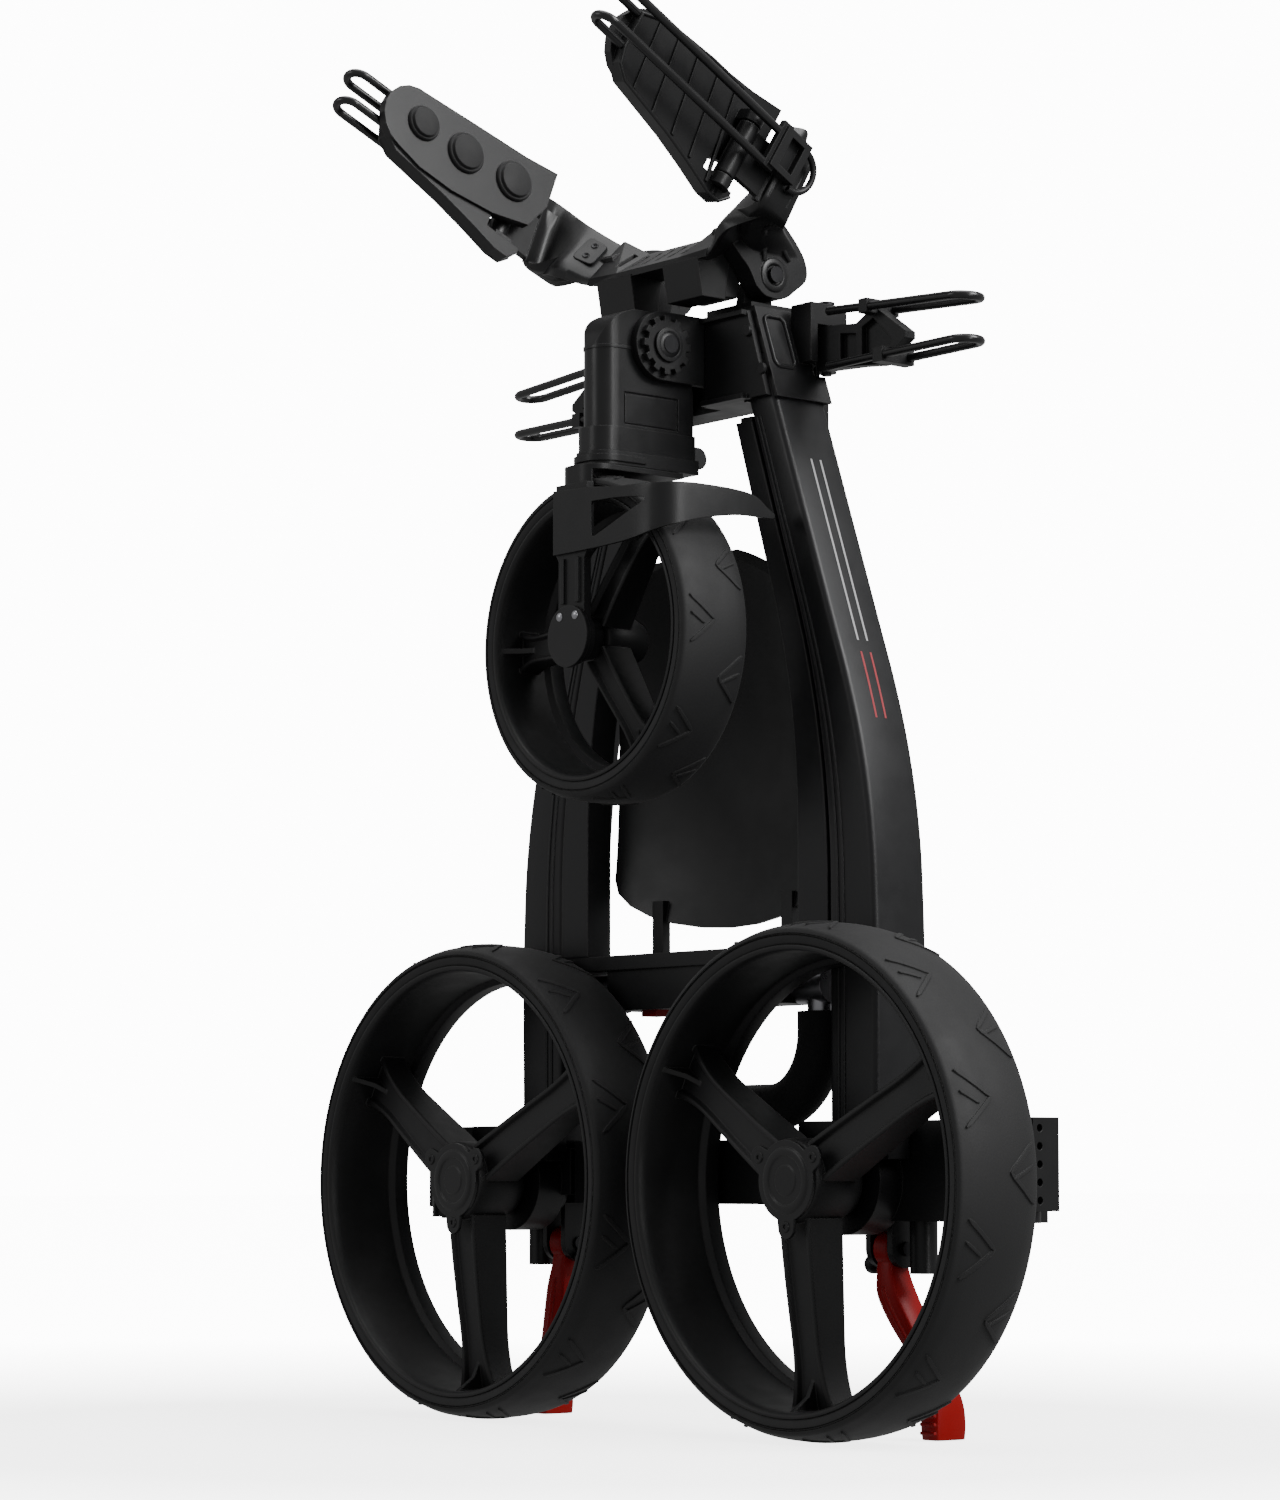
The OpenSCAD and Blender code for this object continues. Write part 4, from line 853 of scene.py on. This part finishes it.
def build_inset_plate():
    """Small plate with two screws let into the left band."""
    by, bz = BRIDGE_Y, BRIDGE_Z
    front = (Vector((-56, by - 9, bz + 5)), Vector((-79, by - 18, bz + 16)))
    back = (Vector((-56, by + 18, bz + 32)), Vector((-79, by + 14, bz + 46)))

    def on_band(t, u):
        return front[0].lerp(front[1], t).lerp(back[0].lerp(back[1], t), u)

    corners = [on_band(0.2, 0.25), on_band(0.2, 0.75), on_band(0.8, 0.75), on_band(0.8, 0.25)]
    out = (corners[1] - corners[0]).cross(corners[3] - corners[0]).normalized()
    if out.z < 0:
        out = -out
    plate = Shape()
    plate.loft([[c + out * h for c in rounded(corners)] for h in (-1.5, 1.6)])
    plate.piece("band_inset", "black", "cradle", bevel=0.4)
    screws = Shape()
    for u in (0.38, 0.62):
        spot = on_band(0.5, u) + out * 1.5
        turn = out.to_track_quat("Z", "Y").to_matrix().to_4x4()
        first = len(screws.verts)
        screws.lathe((0, 0, 0), [(0.8, 0.0), (0.8, 0.4), (2.0, 0.8), (2.4, 0.2), (2.4, 0.0)], axis="Z",
                     steps=20)
        screws.move(first, Matrix.Translation(spot) @ turn)
    screws.piece("band_screws", "dark_steel", "cradle")


build_under_bridge()
build_inset_plate()


def build_sleeve_loop(side_name, sign):
    """Raised rounded frame on the outer face of a top sleeve."""
    high = box_mm("rail_" + side_name)[1]
    sleeve_low = box_mm("top_sleeve_" + side_name)[0]
    rows = outline_of("rail_" + side_name)
    slope = (edge_at(rows, high.z - 60, 2) - edge_at(rows, high.z - 4, 2)) / 56
    top_x = edge_at(rows, high.z - 4, 2) + 3.2

    def on_face(y, z):
        return Vector((sign * (top_x - slope * (z - high.z + 4)), y, z))

    y0, y1 = sleeve_low.y + 5, sleeve_low.y + 21
    z0, z1 = high.z - 8, high.z + 24
    r = 4
    path = []
    for cy, cz, start in ((y1 - r, z1 - r, 0), (y0 + r, z1 - r, 90), (y0 + r, z0 + r, 180),
                          (y1 - r, z0 + r, 270)):
        for k in range(6):
            a = math.radians(start + 90 * k / 5)
            path.append(on_face(cy + r * math.cos(a), cz + r * math.sin(a)))
    path += [path[0], path[1]]
    shape = Shape()
    shape.tube(path, 1.5, sides=10)
    shape.piece("sleeve_loop_" + side_name, "satin", "frame", smooth_angle=50)


def build_pad_ribs(side_name, sign):
    """Border and cross ribs on the outer face of a pad's back shell."""
    shape = Shape()
    outline = [(4, -33), (10, -40), (20, -40), (40, -35), (64, -30), (106, -24), (114, -18),
               (117, -8), (117, 15), (100, 22), (60, 25), (31, 25)]
    path = [Vector((12.2, -u, v)) for u, v in outline]
    shape.tube(path, 1.3, sides=8)
    for a, b in (((24, -36), (36, 24)), ((42, -32), (52, 24)), ((60, -29), (70, 23)),
                 ((79, -27), (87, 21)), ((98, -24), (103, 19))):
        shape.prism([(-a[0] - 1.1, a[1]), (-a[0] + 1.1, a[1]), (-b[0] + 1.1, b[1]),
                     (-b[0] - 1.1, b[1])], 11.0, 13.2, axis="X")
    shape.move(0, Matrix.Scale(sign, 4, (1, 0, 0)) @ PAD_FRAME)
    shape.piece("pad_ribs_" + side_name, "satin", "bag_pad_" + side_name, bevel=0.3)


for side_name, sign in SIDES.items():
    build_sleeve_loop(side_name, sign)
    build_pad_ribs(side_name, sign)


def build_bolt():
    """Domed black nut over the lock disc."""
    high = box_mm("hinge_bolt")[1]
    spot = middle("hinge_bolt")
    shape = Shape()
    dome(shape, (high.x - 2.0, spot.y, spot.z), 8.4, 1.9, axis="X", sign=1, steps=36)
    shape.lathe((high.x - 2.4, spot.y, spot.z), [(8.2, 0), (10.4, 0), (10.4, 0.8), (8.2, 1.0)],
                axis="X", steps=36)
    shape.piece("hinge_nut", "black", "frame")


build_bolt()


def build_buttons(side_name):
    """Domed rubber buttons over the CAD discs of a bag pad."""
    name = "pad_buttons_" + side_name
    source = NODES[name].data
    islands = split_islands(source)
    shape = Shape()
    for points in islands:
        centre = sum(points, Vector()) / len(points)
        spread = [(p - centre) for p in points]
        normal = pad_normal(side_name)
        flat = [s - normal * s.dot(normal) for s in spread]
        radius = max(f.length for f in flat)
        side = flat[0].normalized()
        other = normal.cross(side)
        bottom = min(s.dot(normal) for s in spread)
        top = max(s.dot(normal) for s in spread)
        steps = 40
        rings = []
        profile = [(radius * 1.0, bottom), (radius * 1.0, bottom + 1.2), (radius * 0.93, bottom + 2.2),
                   (radius * 0.86, bottom + 2.0), (radius * 0.80, top - 0.6), (radius * 0.55, top),
                   (0.02, top + 0.3)]
        for r, h in profile:
            rings.append([centre + normal * h + (side * math.cos(t) + other * math.sin(t)) * r
                          for t in (2 * math.pi * k / steps for k in range(steps))])
        shape.loft(rings)
    made = shape.piece(name + "_domes", "button", "bag_pad_" + side_name, smooth_angle=50)
    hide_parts(name)


def split_islands(mesh):
    """Groups of points, in millimetres, that belong to the same solid."""
    bm = bmesh.new()
    bm.from_mesh(mesh)
    bmesh.ops.remove_doubles(bm, verts=bm.verts, dist=1e-5)
    seen, groups = set(), []
    for vertex in bm.verts:
        if vertex in seen:
            continue
        stack, points = [vertex], []
        seen.add(vertex)
        while stack:
            current = stack.pop()
            points.append(current.co / MM)
            for edge in current.link_edges:
                far = edge.other_vert(current)
                if far not in seen:
                    seen.add(far)
                    stack.append(far)
        groups.append(points)
    bm.free()
    return groups


def pad_normal(side_name):
    """Direction in which a pad's face looks, towards the bag."""
    best, direction = 0, Vector((1, 0, 0))
    mesh = NODES["bag_pad_" + side_name].data
    sign = SIDES[side_name]
    for face in mesh.polygons:
        if face.area > best and face.normal.x * sign < -0.5:
            best, direction = face.area, face.normal.copy()
    return direction


for side_name in SIDES:
    build_buttons(side_name)


def build_lever(side_name, sign):
    """Cast foot lever: ring head, broad curved shank with a spine, ribbed foot."""
    name = "foot_lever_" + side_name
    low, high = box_mm(name)
    pin = middle("lever_pins")
    lever_x = min(abs(low.x), abs(high.x)) + 6.5
    foot_x = max(abs(low.x), abs(high.x)) - 8
    y, z = pin.y, pin.z
    stations = [(lever_x, y, z - 6, 6.2, 7.4), (lever_x + 0.5, y, z - 15, 7.0, 8.6),
                (lever_x + 3, y + 1, z - 27, 9.4, 9.4), (lever_x + 10, y + 4, z - 43, 9.6, 9.0),
                (foot_x - 9, y + 8, 47, 8.4, 8.4), (foot_x - 2, y + 10, 31, 7.8, 9.0),
                (foot_x, y + 11, 20, 7.8, 11.4), (foot_x, y + 11.5, 9, 8.0, 12.3),
                (foot_x, y + 11.6, 0.5, 7.4, 11.8)]
    rows = spline([[Vector(st[:3]), Vector((st[3], st[4], 0))] for st in stations], 5)
    shape = Shape()
    rings = []
    for spot, half in rows:
        a, b = half.x, half.y
        corners = [spot + Vector(q) for q in ((-a, -b, 0), (a, -b, 0), (a, b, 0), (-a, b, 0))]
        rings.append(rounded(corners, 0.2))
    shape.loft(rings)
    shape.lathe((lever_x, y, z), [(4.2, -6.4), (9.4, -6.4), (10.6, -5.2), (10.6, 5.2), (9.4, 6.4),
                                  (4.2, 6.4)], axis="X", steps=48)
    spine = []
    for spot, half in rows[8:30]:
        base = spot + Vector((0, -half.y, 0))
        spine.append([base + Vector(q) for q in ((-2.2, 1, 0), (-1.4, -1.3, 0), (1.4, -1.3, 0),
                                                 (2.2, 1, 0))])
    shape.loft(spine)
    for height in (4.5, 9.5, 14.5):
        shape.prism([(foot_x - 6, height - 1), (foot_x + 6, height - 1), (foot_x + 6, height + 1),
                     (foot_x - 6, height + 1)], y - 1.6, y + 2)
    shape.move(0, Matrix.Scale(sign, 4, (1, 0, 0)))
    made = shape.piece("lever_cast_" + side_name, "red", name, bevel=0.6, smooth_angle=40)
    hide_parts(name)


def build_lever_details(side_name, sign):
    """Black knob on its stem beside the lever."""
    low, high = box_mm("foot_lever_" + side_name)
    inner = min(abs(low.x), abs(high.x))
    pin = middle("lever_pins")
    y, z = pin.y, pin.z
    knob = Shape()
    knob.lathe((sign * (inner - 6), y, z - 9), [(0.01, -7 * sign), (4.6, -7 * sign), (5.6, -5.5 * sign),
               (5.6, -1.5 * sign), (4.2, 0), (2.4, 0.5 * sign), (2.4, 7 * sign), (0.01, 7 * sign)],
               axis="X", steps=32)
    knob.piece(f"lever_knob_{side_name}", "black", "foot_lever_" + side_name, bevel=0.3)


for side_name, sign in SIDES.items():
    build_lever(side_name, sign)
    build_lever_details(side_name, sign)


# ------------------------------------------------------------------ CAD nodes' materials

NODE_FINISH = {
    "rail": ("rail_left", "rail_right", "handle_bars"),
    "satin": ("front_arm", "wheel_guard", "cradle_arm_left", "cradle_arm_right", "cradle_bridge",
              "bag_pad_left", "bag_pad_right", "top_sleeve_left", "top_sleeve_right",
              "front_hub_cover"),
    "dark_steel": ("fold_pins", "lever_pins", "wing_pins", "cradle_pins", "hinge_bolt"),
    "steel": ("rear_axle_left", "rear_axle_right", "rear_bearings_left", "rear_bearings_right",
              "front_axle", "front_bearings", "grip_tube"),
    "wire": ("strap_wires_left", "strap_wires_right", "wing_wires_left", "wing_wires_right"),
    "foam": ("grip_foam",),
    "red": ("foot_lever_left", "foot_lever_right", "release_button"),
    "tyre": ("rear_tyre_left", "rear_tyre_right", "front_tyre", "pad_buttons_left",
             "pad_buttons_right"),
    "rim": ("rear_rim_left", "rear_rim_right", "front_rim"),
}
chosen = {name: kind for kind, names in NODE_FINISH.items() for name in names}
for name, thing in NODES.items():
    thing.data.shade_smooth()
    thing.data.set_sharp_from_angle(angle=math.radians(24))
    material = FINISHES[chosen.get(name, "black")][0]
    thing.data.materials.clear()
    thing.data.materials.append(material)


# ------------------------------------------------------------------ stage

def add_area(name, spot, target, size, watts):
    data = bpy.data.lights.new(name, "AREA")
    data.shape = "RECTANGLE"
    data.size, data.size_y = size
    data.energy = watts
    lamp = bpy.data.objects.new(name, data)
    lamp.location = spot
    aim = Vector(target) - Vector(spot)
    lamp.rotation_euler = aim.to_track_quat("-Z", "Y").to_euler()
    bpy.context.scene.collection.objects.link(lamp)


# brightness of the floor near the cart, kept low there as painted shade, and far away, of the backdrop, and
# of the room
FLOOR_NEAR_SHADED, FLOOR_FAR, BACKDROP, ROOM = 3.6, 12.0, 13.0, 0.38
FLOOR_REACH = 30.0


def build_stage():
    """Bright floor, dimmed near the cart as painted shade, and backdrop that are seen but light nothing,
    and four soft lamps.
    """
    mesh = bpy.data.meshes.new("floor")
    reach = FLOOR_REACH
    mesh.from_pydata([(-reach, -reach, 0), (reach, -reach, 0), (reach, reach, 0),
                      (-reach, reach, 0)], [], [[0, 1, 2, 3]])
    floor = bpy.data.objects.new("floor", mesh)
    bpy.context.scene.collection.objects.link(floor)
    pale = bpy.data.materials.new("pale_floor")
    pale.use_nodes = True
    tree = pale.node_tree
    shader = tree.nodes["Principled BSDF"]
    tint = mix_colour(tree, noise(tree, 3.0, 2.0), (0.86, 0.86, 0.86), (0.88, 0.88, 0.88))
    tree.links.new(tint, shader.inputs["Base Color"])
    shader.inputs["Roughness"].default_value = 0.9
    shader.inputs["Specular IOR Level"].default_value = 0.1
    shader.inputs["Emission Color"].default_value = (1, 1, 1, 1)
    coords = node(tree, "ShaderNodeTexCoord")
    away = node(tree, "ShaderNodeVectorMath", operation="LENGTH")
    tree.links.new(coords.outputs["Object"], away.inputs[0])
    # the floor glows less near the cart: painted shade round the cart, beneath its real cast shadow
    glow = remap(tree, away.outputs["Value"], FLOOR_NEAR_SHADED, FLOOR_FAR, 0.42, 1.5)
    tree.links.new(glow, shader.inputs["Emission Strength"])
    mesh.materials.append(pale)
    # the bright floor is seen, but throws no light up at the black cart
    floor.visible_diffuse = False
    floor.visible_glossy = False
    world = bpy.data.worlds.new("studio")
    bpy.context.scene.world = world
    world.use_nodes = True
    tree = world.node_tree
    tree.nodes["Background"].inputs["Strength"].default_value = ROOM
    tree.nodes["Background"].inputs["Color"].default_value = (1, 1, 1, 1)
    backdrop = node(tree, "ShaderNodeBackground", Strength=BACKDROP)
    backdrop.inputs["Color"].default_value = (1, 1, 1, 1)
    seen = node(tree, "ShaderNodeLightPath")
    either = node(tree, "ShaderNodeMixShader")
    tree.links.new(seen.outputs["Is Camera Ray"], either.inputs[0])
    tree.links.new(tree.nodes["Background"].outputs[0], either.inputs[1])
    tree.links.new(backdrop.outputs[0], either.inputs[2])
    tree.links.new(either.outputs[0], tree.nodes["World Output"].inputs["Surface"])
    add_area("key", (2.4, 0.9, 2.2), (0, 0, 0.4), (1.4, 1.4), 82)
    add_area("side", (2.8, -0.1, 0.7), (0, 0, 0.4), (0.4, 1.8), 17)
    add_area("top", (0.2, 0.2, 3.2), (0, 0, 0), (2.6, 2.6), 58)
    add_area("fill", (-1.2, -2.6, 1.6), (0, 0, 0.4), (1.2, 1.2), 11)


build_stage()

CAMERA_AT = Vector((1.9437, -1.5864, 0.1486))
CAMERA_AZIMUTH = math.radians(50.391)
CAMERA_PITCH = math.radians(5.795)
camera_data = bpy.data.cameras.new("camera")
camera_data.lens = 101.35
camera_data.sensor_width = 36
camera = bpy.data.objects.new("camera", camera_data)
camera.location = CAMERA_AT
forward = Vector((-math.sin(CAMERA_AZIMUTH) * math.cos(CAMERA_PITCH),
                  math.cos(CAMERA_AZIMUTH) * math.cos(CAMERA_PITCH), math.sin(CAMERA_PITCH)))
camera.rotation_euler = forward.to_track_quat("-Z", "Y").to_euler()
bpy.context.scene.collection.objects.link(camera)
bpy.context.scene.camera = camera
